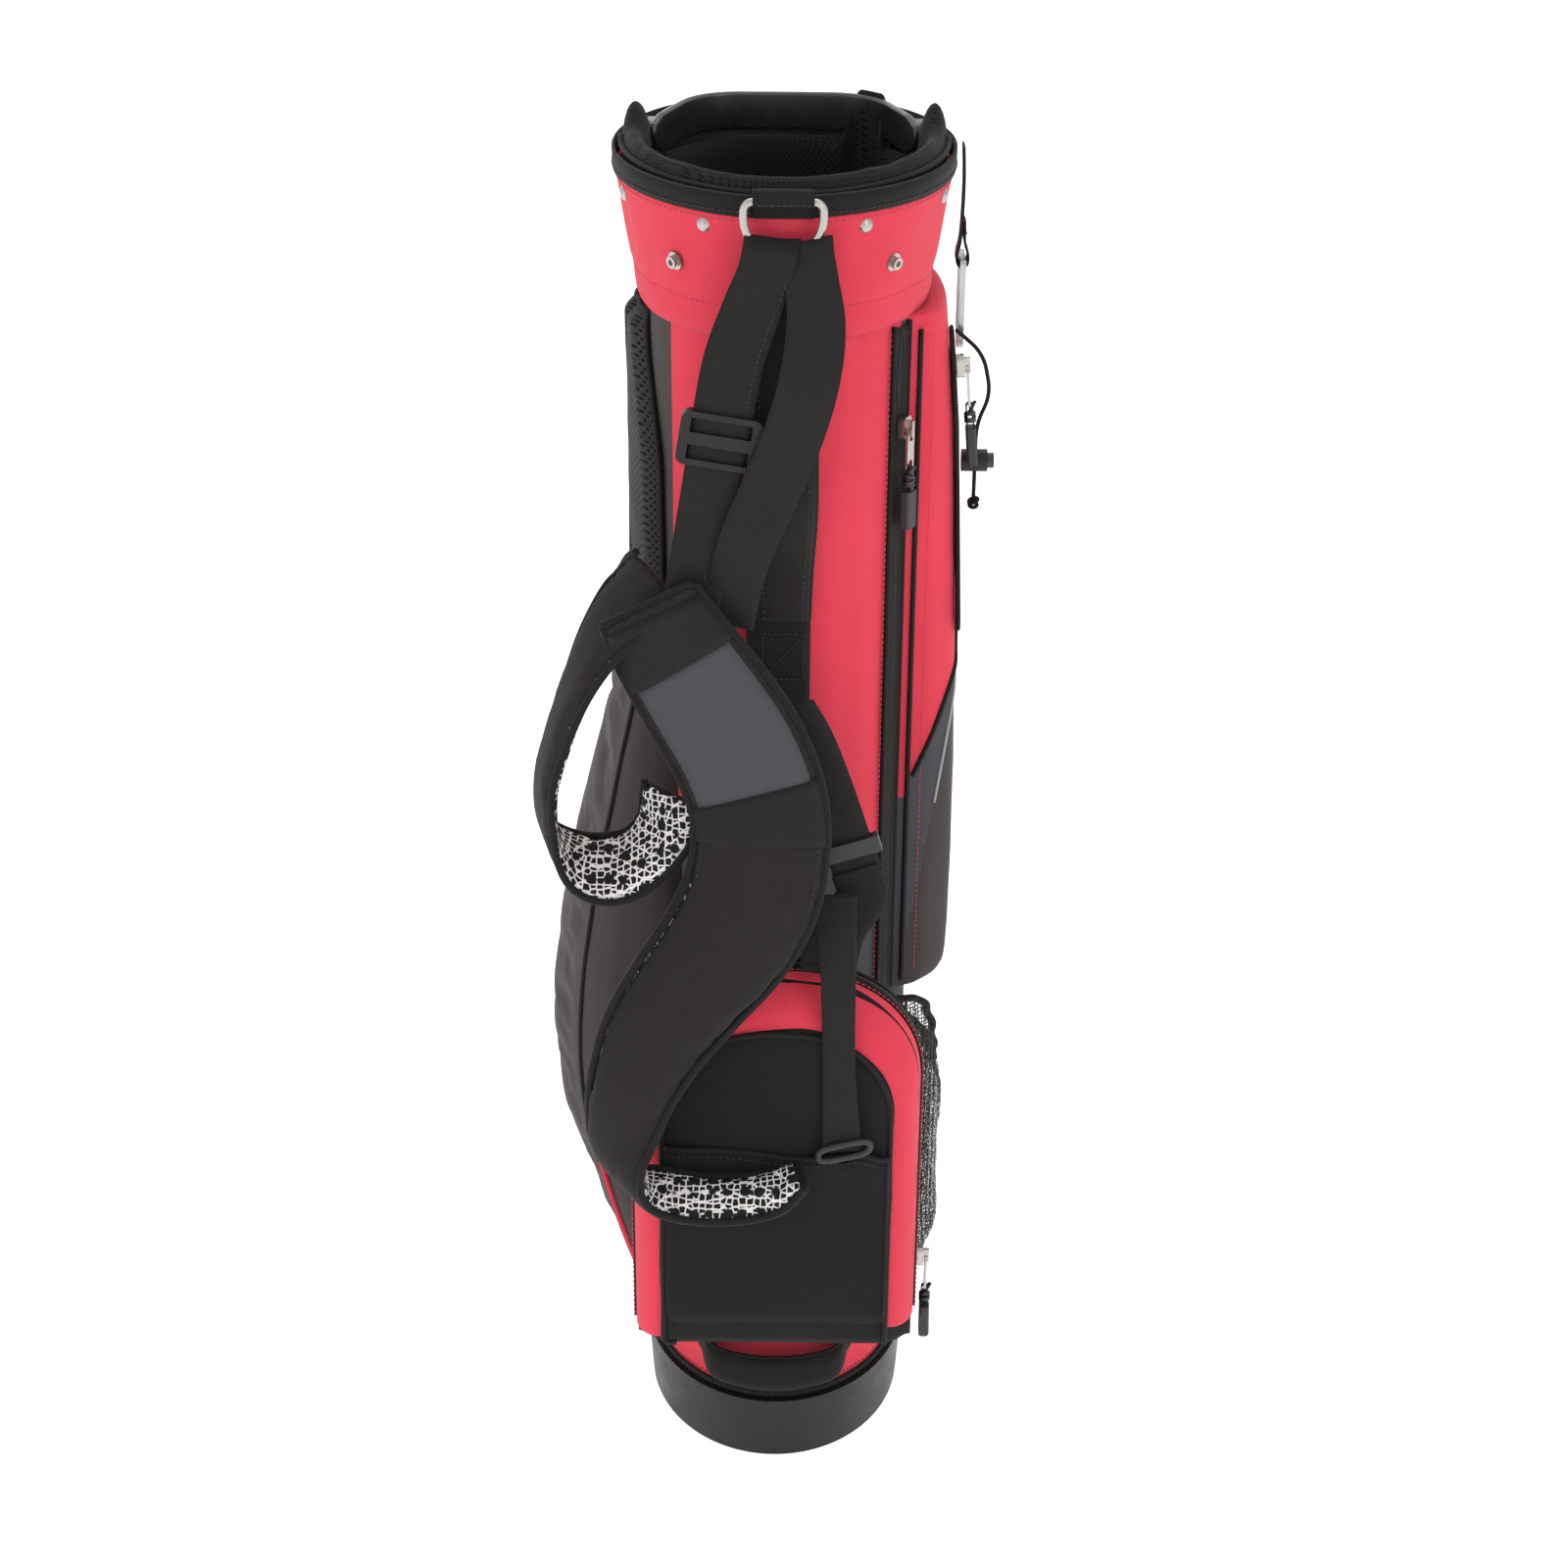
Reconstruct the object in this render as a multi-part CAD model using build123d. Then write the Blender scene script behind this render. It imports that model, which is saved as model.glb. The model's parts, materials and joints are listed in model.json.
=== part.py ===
from build123d import *
import math
import os

# Golf stand bag, standing upright on its base. Millimetres, +Z up, -Y is the strap side, +Y the leg side.
# The origin is the centre of the base's underside.

# driving dimensions
body_half_width = 81.0
body_half_depth = 99.0
body_wall = 2.0
body_top = 774.0
skin_gap = 0.3

base_half_width = 86.0
base_half_depth = 105.0
base_height = 46.0
base_wall = 3.0
base_taper = 3.0
foot_angle = 17.0

cuff_bottom = body_top - 14.0
cuff_top = body_top + 55.0
cuff_flare_width = 11.0
cuff_flare_depth = 13.0
cuff_skin = 1.6
ring_wall = 3.0
binding_height = 11.0
binding_wall = 3.6
pad_top = body_top + 75.0
ear_top = body_top + 84.0
mouth_half_width = 76.0
mouth_half_depth = 94.0

handle_band_height = 22.0
handle_band_wall = 4.0
handle_band_low = body_top + 50.0
handle_end_y = 28.0
handle_post_depth = 20.0

leg_radius = 7.0
leg_wall = 1.0
leg_x = 34.0
leg_y = 104.0
leg_splay = 20.0
leg_pivot_z = body_top - 30.0
leg_foot_bottom = 58.0
leg_foot_radius = 10.5
leg_open = 20.0
pivot_pin_radius = 3.0
knuckle_radius = 8.5
knuckle_width = 15.0
running_gap = 0.06

rod_radius = 1.6
rod_offset = leg_radius + 7.0
rod_clip_drop = 240.0
rod_end_z = 2.5
clip_radius = leg_radius + 2.5
rod_bend = 4.0

webbing_width = 34.0
webbing_thick = 1.8
d_ring_width = 46.0
d_ring_height = 33.0
d_ring_wire = 2.2
d_ring_z = 841.0

ball_pocket_half_width = 84.0
ball_pocket_front = -170.0
ball_pocket_bottom = 132.0
ball_pocket_top = 392.0
ball_trim_depth = 24.0
trim_thick = 2.6
handle_thick = 6.0
pad_thick = 13.0

slider_length = 13.0
slider_width = 8.0
slider_thick = 4.4
pull_length = 24.0
pull_width = 7.0
pull_thick = 1.4
tab_length = 22.0
tab_width = 10.0
tab_thick = 6.0

stay_radius = 3.0
rivet_radius = 4.2
stud_radius = 5.0
rivet_angles = (243.0, 298.0, 200.0, 340.0, 150.0, 30.0)
stud_angles = (230.0, 311.0, 120.0, 60.0)


# shared shapes
def oval(half_width, half_depth, low, high):
    """Straight oval prism about the bag's axis."""
    return Pos(0, 0, low) * extrude(Ellipse(half_width, half_depth), high - low)


def flared_oval(low_size, high_size, low, high):
    """Oval solid whose half sizes change from the low end to the high end."""
    return loft([Pos(0, 0, low) * Ellipse(*low_size), Pos(0, 0, high) * Ellipse(*high_size)])


def block(x_range, y_range, z_range):
    """Box from its six limits."""
    size = [high - low for low, high in (x_range, y_range, z_range)]
    middle = [(high + low) / 2 for low, high in (x_range, y_range, z_range)]
    return Pos(*middle) * Box(*size)


def front_panel(points, y_near, y_far):
    """Plate whose outline is drawn in the XZ plane, between two values of Y."""
    face = make_face(Polyline(*[(x, 0, z) for x, z in points], close=True))
    return Pos(0, y_near, 0) * extrude(face, y_far - y_near, dir=(0, 1, 0))


def side_panel(points, x_near, x_far):
    """Plate whose outline is drawn in the YZ plane, between two values of X."""
    face = make_face(Polyline(*[(0, y, z) for y, z in points], close=True))
    return Pos(x_near, 0, 0) * extrude(face, x_far - x_near, dir=(1, 0, 0))


def oval_y(half_width, half_depth, x):
    """Depth of an oval's side at x."""
    return half_depth * math.sqrt(max(0.0, 1 - (x / half_width) ** 2))


def oval_x(half_width, half_depth, y):
    """Width of an oval's side at y."""
    return half_width * math.sqrt(max(0.0, 1 - (y / half_depth) ** 2))


def outward_angle(x, y):
    """Heading of the body surface's normal at a point on it, in degrees from +X."""
    return math.degrees(math.atan2(y / body_half_depth**2, x / body_half_width**2))


def around_body(gap=skin_gap):
    """The body's outside grown by a gap, for cutting pieces that lie on it."""
    return oval(body_half_width + gap, body_half_depth + gap, -50, 1000)


# base
foot_hinge_y = 32.0
foot_hinge_z = 3.6
foot_barrel_radius = 2.9
foot_pin_radius = 1.4
foot_plate_thick = 4.0
foot_plate_low = 1.0
foot_step = 8.0
foot_lip_y = 124.0
foot_lip_half_width = 36.0
lug_x = 48.0
lug_half = 5.0
pin_half_length = lug_x + lug_half


def under_slope(raise_by=0.0):
    """Everything under the sloping sole at the leg side, with the hinge step."""
    start = foot_hinge_y - 4 - raise_by
    run = 200.0
    rise = run * math.tan(math.radians(foot_angle + 1))
    step = foot_step + raise_by
    low = -60.0
    outline = [(start, low), (start + run, low), (start + run, step + rise), (start, step)]
    return side_panel(outline, -150, 150)


def base_cup():
    bottom = (base_half_width - base_taper, base_half_depth - base_taper)
    cup = flared_oval(bottom, (base_half_width, base_half_depth), 0, base_height)
    hollow_size = (body_half_width + skin_gap, body_half_depth + skin_gap)
    hollow = oval(*hollow_size, base_wall, base_height + 1) - under_slope(base_wall)
    cup = cup - hollow - under_slope()
    for side in (-1, 1):
        lug = block(
            (side * lug_x - lug_half, side * lug_x + lug_half),
            (foot_hinge_y - 5, foot_hinge_y + foot_barrel_radius),
            (0.6, foot_step + 4),
        )
        cup = cup + lug
    bore = Rot(0, 90, 0) * Cylinder(foot_pin_radius + running_gap, 4 * pin_half_length)
    return cup - Pos(0, foot_hinge_y, foot_hinge_z) * bore


def rod_place(side):
    """Where a push rod stands, in plan."""
    splay = math.radians(leg_splay)
    return side * (leg_x - rod_offset * math.cos(splay)), leg_y + rod_offset * math.sin(splay)


def foot_plate():
    plate = oval(base_half_width, base_half_depth, foot_plate_low, foot_plate_low + foot_plate_thick)
    plate = plate & block((-150, 150), (foot_hinge_y + 4, 200), (-10, 50))
    lip = block(
        (-foot_lip_half_width, foot_lip_half_width),
        (foot_hinge_y + 4, foot_lip_y),
        (foot_plate_low, foot_plate_low + foot_plate_thick),
    )
    plate = plate + lip
    barrel_half = lug_x - lug_half - 0.5
    barrel = Rot(0, 90, 0) * Cylinder(foot_barrel_radius, 2 * barrel_half)
    web = block(
        (-barrel_half, barrel_half),
        (foot_hinge_y, foot_hinge_y + 6),
        (foot_plate_low, foot_plate_low + foot_plate_thick),
    )
    plate = plate + Pos(0, foot_hinge_y, foot_hinge_z) * barrel + web
    pin = Rot(0, 90, 0) * Cylinder(foot_pin_radius, 2 * pin_half_length)
    plate = plate + Pos(0, foot_hinge_y, foot_hinge_z) * pin
    for side in (-1, 1):
        x, y = rod_place(side)
        plate = plate - block((x - 6, x + 6), (y - 12, y + 9), (-10, 20))
    return plate



# tube, stays and dividers
def bag_shell():
    outside = oval(body_half_width, body_half_depth, base_height - 8, body_top)
    inside = oval(body_half_width - body_wall, body_half_depth - body_wall, 0, body_top + 5)
    return outside - inside


stay_angles = {"left_rear": 140.0, "right_rear": 40.0, "left_front": 235.0, "right_front": 305.0}


def support_stay(angle):
    reach_x = body_half_width - body_wall - stay_radius - 0.4
    reach_y = body_half_depth - body_wall - stay_radius - 0.4
    x = reach_x * math.cos(math.radians(angle))
    y = reach_y * math.sin(math.radians(angle))
    low = base_height - 6
    high = divider_low - 0.5
    return Pos(x, y, (low + high) / 2) * Cylinder(stay_radius, high - low)


divider_low = body_top - 32.0
divider_high = body_top - 2.0
divider_bar = 7.0


def divider_frame():
    clear = body_wall + 0.2
    outside = oval(body_half_width - clear, body_half_depth - clear, divider_low, divider_high)
    ring = outside - oval(body_half_width - clear - 4, body_half_depth - clear - 4, 0, 900)
    half = divider_bar / 2
    bars = block((-100, 100), (-half, half), (divider_low, divider_high))
    bars = bars + block((-half, half), (-120, 120), (divider_low, divider_high))
    return ring + (bars & outside)


# collar
def cuff_surface(inset, low, high):
    """Solid inside the cuff's flared outside, drawn in by an inset."""
    size_low = (body_half_width + 2.0 - inset, body_half_depth + 2.0 - inset)
    size_high = (size_low[0] + cuff_flare_width, size_low[1] + cuff_flare_depth)
    return flared_oval(size_low, size_high, low, high)


def cuff_cover():
    shell = cuff_surface(0, cuff_bottom, cuff_top) - cuff_surface(cuff_skin, cuff_bottom, cuff_top)
    return shell - around_body(0.1)


def collar_ring():
    """Moulded ring that stiffens the mouth, standing on top of the fabric tube."""
    inset = cuff_skin + 0.1
    ring = cuff_surface(inset, cuff_bottom, cuff_top) - cuff_surface(inset + ring_wall, cuff_bottom, cuff_top)
    return ring & block((-200, 200), (-200, 200), (body_top + 0.3, cuff_top))


def cuff_binding():
    low = cuff_top + 0.2
    size = (body_half_width + 2.4 + cuff_flare_width, body_half_depth + 2.4 + cuff_flare_depth)
    outside = oval(*size, low, low + binding_height)
    return outside - oval(size[0] - binding_wall, size[1] - binding_wall, 0, 900)


def rim_region(low, high, gap):
    """Space between the mouth and the collar ring or the binding."""
    inset = cuff_skin + ring_wall + 0.1 + gap
    inner = oval(mouth_half_width, mouth_half_depth, 0, 1000)
    grow = 2.4 - binding_wall - gap
    size = (body_half_width + grow + cuff_flare_width, body_half_depth + grow + cuff_flare_depth)
    region = oval(*size, max(low, cuff_top), high) if high > cuff_top else None
    if low < cuff_top:
        slab = block((-200, 200), (-200, 200), (low, min(high, cuff_top)))
        lower = cuff_surface(inset, cuff_bottom, cuff_top) & slab
        region = lower + region if region else lower
    return region - inner


hump_x = 57.0
hump_half = 13.0


def rim_hump():
    """Small raised grip of the pad on the far right of the rim, outside the band."""
    inside = extrude(make_face(Polyline(*band_line(-1.0), close=True)), 900, dir=(0, 0, 1))
    ring = rim_region(handle_band_low - 5, 849.0, 0.3)
    return (ring & block((hump_x - hump_half, hump_x + hump_half), (40, 150), (0, 1000))) - inside


def collar_pad():
    """Padded mesh rim: high at the strap side and its two ears, low under the lifting band."""
    low = body_top + 2
    near = rim_region(low, pad_top, 0.3) & block((-200, 200), (-200, handle_end_y - 0.5), (0, 1000))
    ear_y = (-26, handle_end_y - 0.5)
    ears = rim_region(cuff_top, ear_top, 0.3) & block((-200, 200), ear_y, (cuff_top, 1000))
    back_start = handle_end_y + handle_post_depth + 0.5
    back = rim_region(low, handle_band_low - 4, 0.3) & block((-200, 200), (back_start, 200), (0, 1000))
    under = rim_region(low, 795.0, 0.3) & block((-200, 200), (handle_end_y - 1, back_start + 1), (0, 1000))
    return near + ears + back + under + rim_hump()


def band_line(inset):
    """Plan of the band's outside, drawn in by an inset; its ends stand at the same depth."""
    corner = (61.0 - inset * 0.8, 76.0 - inset * 0.7)
    back = (38.0 - inset * 0.4, 97.0 - inset)
    half = [(inset - 77.0, handle_end_y), (-corner[0], corner[1]), (-back[0], back[1])]
    return half + [(-x, y) for x, y in half[::-1]]


def lift_handle():
    """Moulded band round the far half of the mouth, on two posts that stand in the collar."""
    high = handle_band_low + handle_band_height
    outline = Polyline(*band_line(0), *band_line(handle_band_wall)[::-1], close=True)
    band = Pos(0, 0, handle_band_low) * extrude(make_face(outline), handle_band_height, dir=(0, 0, 1))
    corners = [e for e in band.edges().filter_by(Axis.Z) if e.center().Y > handle_end_y + 1]
    band = fillet(corners, 14.0)
    post_y = (handle_end_y, handle_end_y + handle_post_depth)
    posts = rim_region(796.0, high, 0.4) & block((-200, 200), post_y, (796.0, high))
    sides = block((-200, -60), post_y, (0, 1000)) + block((60, 200), post_y, (0, 1000))
    return band + (posts & sides)


# leg side
def leg_frame(side):
    """Frame at a leg's pivot: local X along the pivot pin, local Y the way the leg swings, local Z up."""
    splay = math.radians(leg_splay)
    pin = (math.cos(splay), -side * math.sin(splay), 0)
    return Plane(origin=(side * leg_x, leg_y, leg_pivot_z), x_dir=pin, z_dir=(0, 0, 1))


def along_x(radius, length):
    return Rot(0, 90, 0) * Cylinder(radius, length)


cheek_thick = 4.0
cheek_gap = 0.5
bracket_low = body_top - 46.0
bracket_high = body_top - 17.0


def leg_bracket():
    """Moulded bracket on the tube that carries both pivot pins."""
    plate = oval(body_half_width + 4, body_half_depth + 4, bracket_low - 6, bracket_high)
    plate = plate & block((-54, 54), (20, 200), (0, 900))
    bracket = plate
    cheek_at = knuckle_width / 2 + cheek_gap + cheek_thick / 2
    for side in (-1, 1):
        frame = leg_frame(side)
        for end in (-1, 1):
            cheek = Pos(end * cheek_at, -4, 0) * Box(cheek_thick, 26, 26)
            bracket = bracket + frame * cheek
    bracket = bracket - around_body()
    for side in (-1, 1):
        frame = leg_frame(side)
        room = Pos(0, 4, -6) * Box(knuckle_width + 2 * cheek_gap, 2 * (knuckle_radius + 5), 60)
        bracket = bracket - frame * room
        bracket = bracket - frame * along_x(pivot_pin_radius, 60)
    return bracket


def pivot_pins():
    length = knuckle_width + 2 * (cheek_gap + cheek_thick)
    return Compound(children=[leg_frame(side) * along_x(pivot_pin_radius, length) for side in (-1, 1)])


spigot_length = 30.0
knuckle_drop = 16.0


def leg_knuckle(side):
    body = along_x(knuckle_radius, knuckle_width)
    neck = Pos(0, 0, -knuckle_drop / 2) * Box(knuckle_width - 2, 2 * leg_radius, knuckle_drop)
    spigot = Cylinder(leg_radius - leg_wall - 0.05, spigot_length)
    spigot = Pos(0, 0, -knuckle_drop - spigot_length / 2) * spigot
    shape = body + neck + spigot - along_x(pivot_pin_radius + running_gap, 60)
    return leg_frame(side) * shape


def leg_tube(side):
    high = leg_pivot_z - knuckle_drop - 0.1
    low = leg_foot_bottom + 10
    middle = Pos(side * leg_x, leg_y, (low + high) / 2)
    return middle * (Cylinder(leg_radius, high - low) - Cylinder(leg_radius - leg_wall, high - low + 2))


def leg_foot(side):
    """Rubber boot on the leg's end, with a domed sole."""
    height = 34.0
    boot = Pos(0, 0, height / 2) * Cylinder(leg_foot_radius, height)
    boot = fillet(boot.edges().group_by(Axis.Z)[0], 6.0)
    boot = chamfer(boot.edges().group_by(Axis.Z)[-1], 2.0)
    boot = boot - Pos(0, 0, 10 + height / 2) * Cylinder(leg_radius, height)
    return Pos(side * leg_x, leg_y, leg_foot_bottom) * boot


def rod_clip(side):
    """Plastic sleeve on the leg that holds the bent top of the push rod."""
    clip = Cylinder(clip_radius, 20) - Cylinder(leg_radius, 40)
    toward = 1 if side < 0 else -1
    clip = clip - Pos(toward * 9, 0, 0) * along_x(rod_radius + running_gap, 8)
    return leg_frame(side) * (Pos(0, 0, -rod_clip_drop) * clip)


def push_rod(side):
    """Spring wire from the foot plate up to the leg, bent into the clip at its top."""
    x, y = rod_place(side)
    top = leg_pivot_z - rod_clip_drop
    toward = 1 if side < 0 else -1
    frame = leg_frame(side)
    stops = [(toward * (leg_radius + 0.2), 0, 0), (toward * rod_offset, 0, 0), (toward * rod_offset, 0, -60)]
    path = FilletPolyline(*stops, radius=rod_bend)
    start = Plane(origin=(toward * (leg_radius + 0.2), 0, 0), z_dir=(toward, 0, 0))
    hook = sweep(start * Circle(rod_radius), path=path)
    hook = frame * (Pos(0, 0, -rod_clip_drop) * hook)
    low = rod_end_z
    straight = Pos(x, y, (low + top - 59.9) / 2) * Cylinder(rod_radius, top - 59.9 - low)
    return hook + straight


# pockets and panels
def right_pocket():
    """Long garment pocket on the right, swelling a little towards its foot."""
    outline = [(30, 328), (108.5, 328), (108, 420), (104, 560), (98.5, 690), (94, 742), (86, 756), (30, 756)]
    volume = front_panel(outline, -50, 66)
    plan = oval(110, 96, 300, 800)
    return (volume & plan) - around_body() - block((-200, 66), (-200, 200), (0, 1000))


def left_pocket():
    """Large garment pocket on the left, fullest low down."""
    outline = [(-30, 104), (-98, 104), (-122, 186), (-141, 262), (-129, 350), (-110, 450)]
    outline = outline + [(-97, 560), (-88, 585), (-30, 585)]
    volume = front_panel(outline, -74, 72)
    plan = oval(146, 88, 90, 700)
    return (volume & plan) - around_body() - block((-60, 200), (-200, 200), (0, 1000))


arch_rise = 70.0
arch_steps = 12


def arch_outline(grow):
    """Outline of the front pocket in the XZ plane, grown at its sides and top."""
    w = ball_pocket_half_width + grow
    low = ball_pocket_top - arch_rise
    points = [(-w, ball_pocket_bottom), (w, ball_pocket_bottom)]
    for i in range(arch_steps + 1):
        a = math.pi * i / arch_steps
        points.append((w * math.cos(a), low + (arch_rise + grow) * math.sin(a)))
    return points


def ball_pocket():
    """Front pocket with an arched top, drawn in where it meets the bag."""
    w = ball_pocket_half_width
    half = [(-50, -60), (-w, -124), (-w, ball_pocket_front)]
    plan = make_face(Polyline(*half, *[(-x, y) for x, y in half[::-1]], close=True))
    column = extrude(plan, 600, dir=(0, 0, 1))
    corners = [e for e in column.edges().filter_by(Axis.Z) if e.center().Y < -160]
    column = fillet(corners, 22)
    return (column & front_panel(arch_outline(0), ball_pocket_front, -50)) - around_body()


def ball_trim():
    """Zip cover band round the pocket's arch."""
    near = ball_pocket_front + 23
    band = front_panel(arch_outline(trim_thick), near, near + ball_trim_depth)
    band = band - front_panel(arch_outline(0.1), near - 1, near + ball_trim_depth + 1)
    return band & block((-200, 200), (-200, 0), (ball_pocket_bottom + 18, 1000))


def pocket_flap():
    """Open slip pocket sewn on the front pocket's face."""
    y = ball_pocket_front
    return block((-60, 60), (y - 3.4, y - 0.2), (ball_pocket_bottom + 4, 292))


pouch_low = 92.0
pouch_high = 324.0
pouch_wall = 1.6


def pouch_volume(inset):
    high = pouch_high + inset
    side = 106 - inset
    low = pouch_low + inset
    outline = [(60, low), (side, low), (side, 250), (74 - inset, high), (60, high)]
    return front_panel(outline, -58 + inset, 34 - inset) & oval(112 - inset, 92 - inset, 80, 500)


def bottle_pouch():
    """Net pouch at the right, open at the slanted top."""
    shell = pouch_volume(0) - pouch_volume(pouch_wall)
    outline = [(60, pouch_high - 6), (84, pouch_high - 6), (112, 246), (140, 246), (140, 400), (60, 400)]
    return shell - front_panel(outline, -100, 100) - around_body()


def hip_pad():
    outline = [(-58, 590), (10, 590), (18, 600), (14, 700), (2, 755), (-40, 755), (-52, 700), (-60, 620)]
    pad = side_panel(outline, -100, -40)
    shape = pad & oval(body_half_width + 10.5, body_half_depth + 10.5, 0, 900)
    return shape - around_body() - block((-50, 200), (-200, 200), (0, 1000))


# strap side fittings
spine_y = -(body_half_depth + skin_gap)
handle_low_z = 616.0
handle_high_z = 787.0
handle_width = 34.0


def spine_webbing():
    strip = block((-14, 17), (spine_y - 8, spine_y + 40), (398, 757))
    return (strip & oval(body_half_width + 2.1, body_half_depth + 2.1, 0, 900)) - around_body()


def carry_handle():
    """Padded grip that bows away from the spine between its two riveted ends."""
    base_y = -(body_half_depth + 2.5)
    top_y = -(body_half_depth + 2.0 + cuff_flare_depth * 0.46 + 0.6)
    inner = [(base_y, 600), (base_y, 636), (base_y - 17, 664), (base_y - 17, 734), (top_y, 766), (top_y, 797)]
    outer = [(y - handle_thick, z) for y, z in inner]
    grip = side_panel(inner + outer[::-1], -handle_width / 2 + 1.5, handle_width / 2 + 1.5)
    return grip - cuff_surface(-0.4, cuff_bottom, cuff_top)


def dome(radius, height):
    """Low dome head with its flat side at the origin, facing local +Z."""
    ball = (radius**2 + height**2) / (2 * height)
    return (Pos(0, 0, height - ball) * Sphere(ball)) & (Pos(0, 0, height) * Cylinder(2 * radius, 2 * height))


def facing(x, y, z, away_x, away_y):
    """Frame at a point whose Z looks outward along a heading in plan."""
    return Plane(origin=(x, y, z), z_dir=(away_x, away_y, 0))


def rim_frame(angle, z, grow):
    """Frame on the cuff's flared outside, grown by a distance, looking straight out of it."""
    rise = cuff_top - cuff_bottom
    share = (z - cuff_bottom) / rise
    a = body_half_width + 2.0 + cuff_flare_width * share
    b = body_half_depth + 2.0 + cuff_flare_depth * share
    x, y = a * math.cos(math.radians(angle)), b * math.sin(math.radians(angle))
    fall = (x**2 / a**3) * cuff_flare_width / rise + (y**2 / b**3) * cuff_flare_depth / rise
    frame = Plane(origin=(x, y, z), z_dir=(x / a**2, y / b**2, -fall))
    return Plane(origin=frame.origin + frame.z_dir * grow, x_dir=frame.x_dir, z_dir=frame.z_dir)


def cuff_fastener(angle, z, grow, shape):
    return rim_frame(angle, z, grow) * shape


def dome_rivets():
    """Domed rivets of the rim and of the carry handle's two ends."""
    heads = [cuff_fastener(a, 821.0, 0.1, dome(rivet_radius, 2.2)) for a in rivet_angles]
    low_y = -(body_half_depth + 2.5 + handle_thick)
    high_y = -(body_half_depth + 2.0 + cuff_flare_depth * 0.46 + 0.6 + handle_thick)
    heads.append(facing(1.5, low_y - 0.1, handle_low_z, 0, -1) * dome(rivet_radius, 2.2))
    heads.append(facing(1.5, high_y - 0.1, handle_high_z, 0, -1) * dome(rivet_radius, 2.2))
    return Compound(children=heads)


def hood_studs():
    """Snap studs for a rain hood: a flange, a post and a rolled head."""
    stud = Pos(0, 0, 0.6) * Cylinder(stud_radius, 1.2) + Pos(0, 0, 2.2) * Cylinder(2.9, 2.4)
    stud = stud + Pos(0, 0, 3.6) * Cylinder(3.4, 1.2) - Pos(0, 0, 4) * Cylinder(1.7, 3)
    return Compound(children=[cuff_fastener(a, 797.0, 0.1, stud) for a in stud_angles])


ring_y = -(body_half_depth + 2.4 + cuff_flare_depth + 5.6)
ring_top = d_ring_z - d_ring_wire
ring_corner = 5.0


def strap_tab():
    """Folded webbing tab that carries the ring's straight bar at the rim."""
    tab = block((-16, 16), (ring_y - 4.4, ring_y + 4.6), (834.5, 846.5))
    eye = Pos(0, ring_y, ring_top) * along_x(d_ring_wire + 0.4, 80)
    mouth = block((-40, 40), (ring_y - 8, ring_y + 3.4), (0, ring_top - 0.1))
    return tab - eye - mouth


def strap_ring():
    """Steel D ring: straight bar at the top, round bow below."""
    half = d_ring_width / 2 - d_ring_wire
    low = ring_top - d_ring_height + 2 * d_ring_wire
    corner = ring_corner
    turn = corner * (1 - math.sqrt(0.5))
    left, right = (-half + corner, ring_y, ring_top), (half - corner, ring_y, ring_top)
    right_low, left_low = (half, ring_y, ring_top - corner), (-half, ring_y, ring_top - corner)
    bow_right, bow_left = (half, ring_y, low + half), (-half, ring_y, low + half)
    edges = [
        Line(left, right),
        ThreePointArc(right, (half - turn, ring_y, ring_top - turn), right_low),
        Line(right_low, bow_right),
        ThreePointArc(bow_right, (0, ring_y, low), bow_left),
        Line(bow_left, left_low),
        ThreePointArc(left_low, (-half + turn, ring_y, ring_top - turn), left),
    ]
    loop = Wire([e.edge() for e in edges])
    return sweep(Plane(origin=edges[0] @ 0.5, z_dir=edges[0] % 0.5) * Circle(d_ring_wire), path=loop)


def lower_grab_handle():
    """Padded strap low on the strap side, standing a little off the fabric."""
    outside = oval(body_half_width + 20, body_half_depth + 20, 66, 94)
    grip = outside - oval(body_half_width + 13.5, body_half_depth + 13.5, 0, 200)
    grip = grip & block((-44, 44), (-200, -60), (0, 200))
    sides = block((-56, -43.9), (-200, -40), (0, 200)) + block((43.9, 56), (-200, -40), (0, 200))
    return grip + ((outside - around_body()) & sides)


# shoulder straps
def strap_outline(route):
    """Closed XZ outline of a strap from its centre line: each stop is x, z and width."""
    left = []
    right = []
    for i, (x, z, width) in enumerate(route):
        before = route[max(i - 1, 0)]
        after = route[min(i + 1, len(route) - 1)]
        dx, dz = after[0] - before[0], after[1] - before[1]
        run = math.hypot(dx, dz)
        left.append((x + dz / run * width / 2, z - dx / run * width / 2))
        right.append((x - dz / run * width / 2, z + dx / run * width / 2))
    return left + right[::-1]


def draped(route, sag, thick):
    """Strap solid: the front outline of its route cut to the band its side view shows."""
    near = [(y - thick / 2, z) for z, y in sag]
    far = [(y + thick / 2, z) for z, y in sag]
    return front_panel(strap_outline(route), -300, 0) & side_panel(near + far[::-1], -300, 300)


webbing_y = -134.0
buckle_run = ((-27.0, 752.0), (-45.0, 640.0))


def webbing_left():
    wide = webbing_width - 2
    route = [(-14, 806, 28), (-20, 782, 30), (*buckle_run[0], wide), (*buckle_run[1], wide)]
    sag = [(840, ring_y - 6.0), (806, ring_y - 6.0), (770, webbing_y), (600, webbing_y)]
    return draped(route, sag, webbing_thick)


def webbing_right():
    y = webbing_y - 6.4
    route = [(13, 804, 26), (17, 768, 30), (8, 722, 32), (-8, 684, 32), (-21, 650, 32)]
    sag = [(840, ring_y - 10.0), (806, ring_y - 10.0), (770, y), (600, y)]
    return draped(route, sag, webbing_thick)


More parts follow.
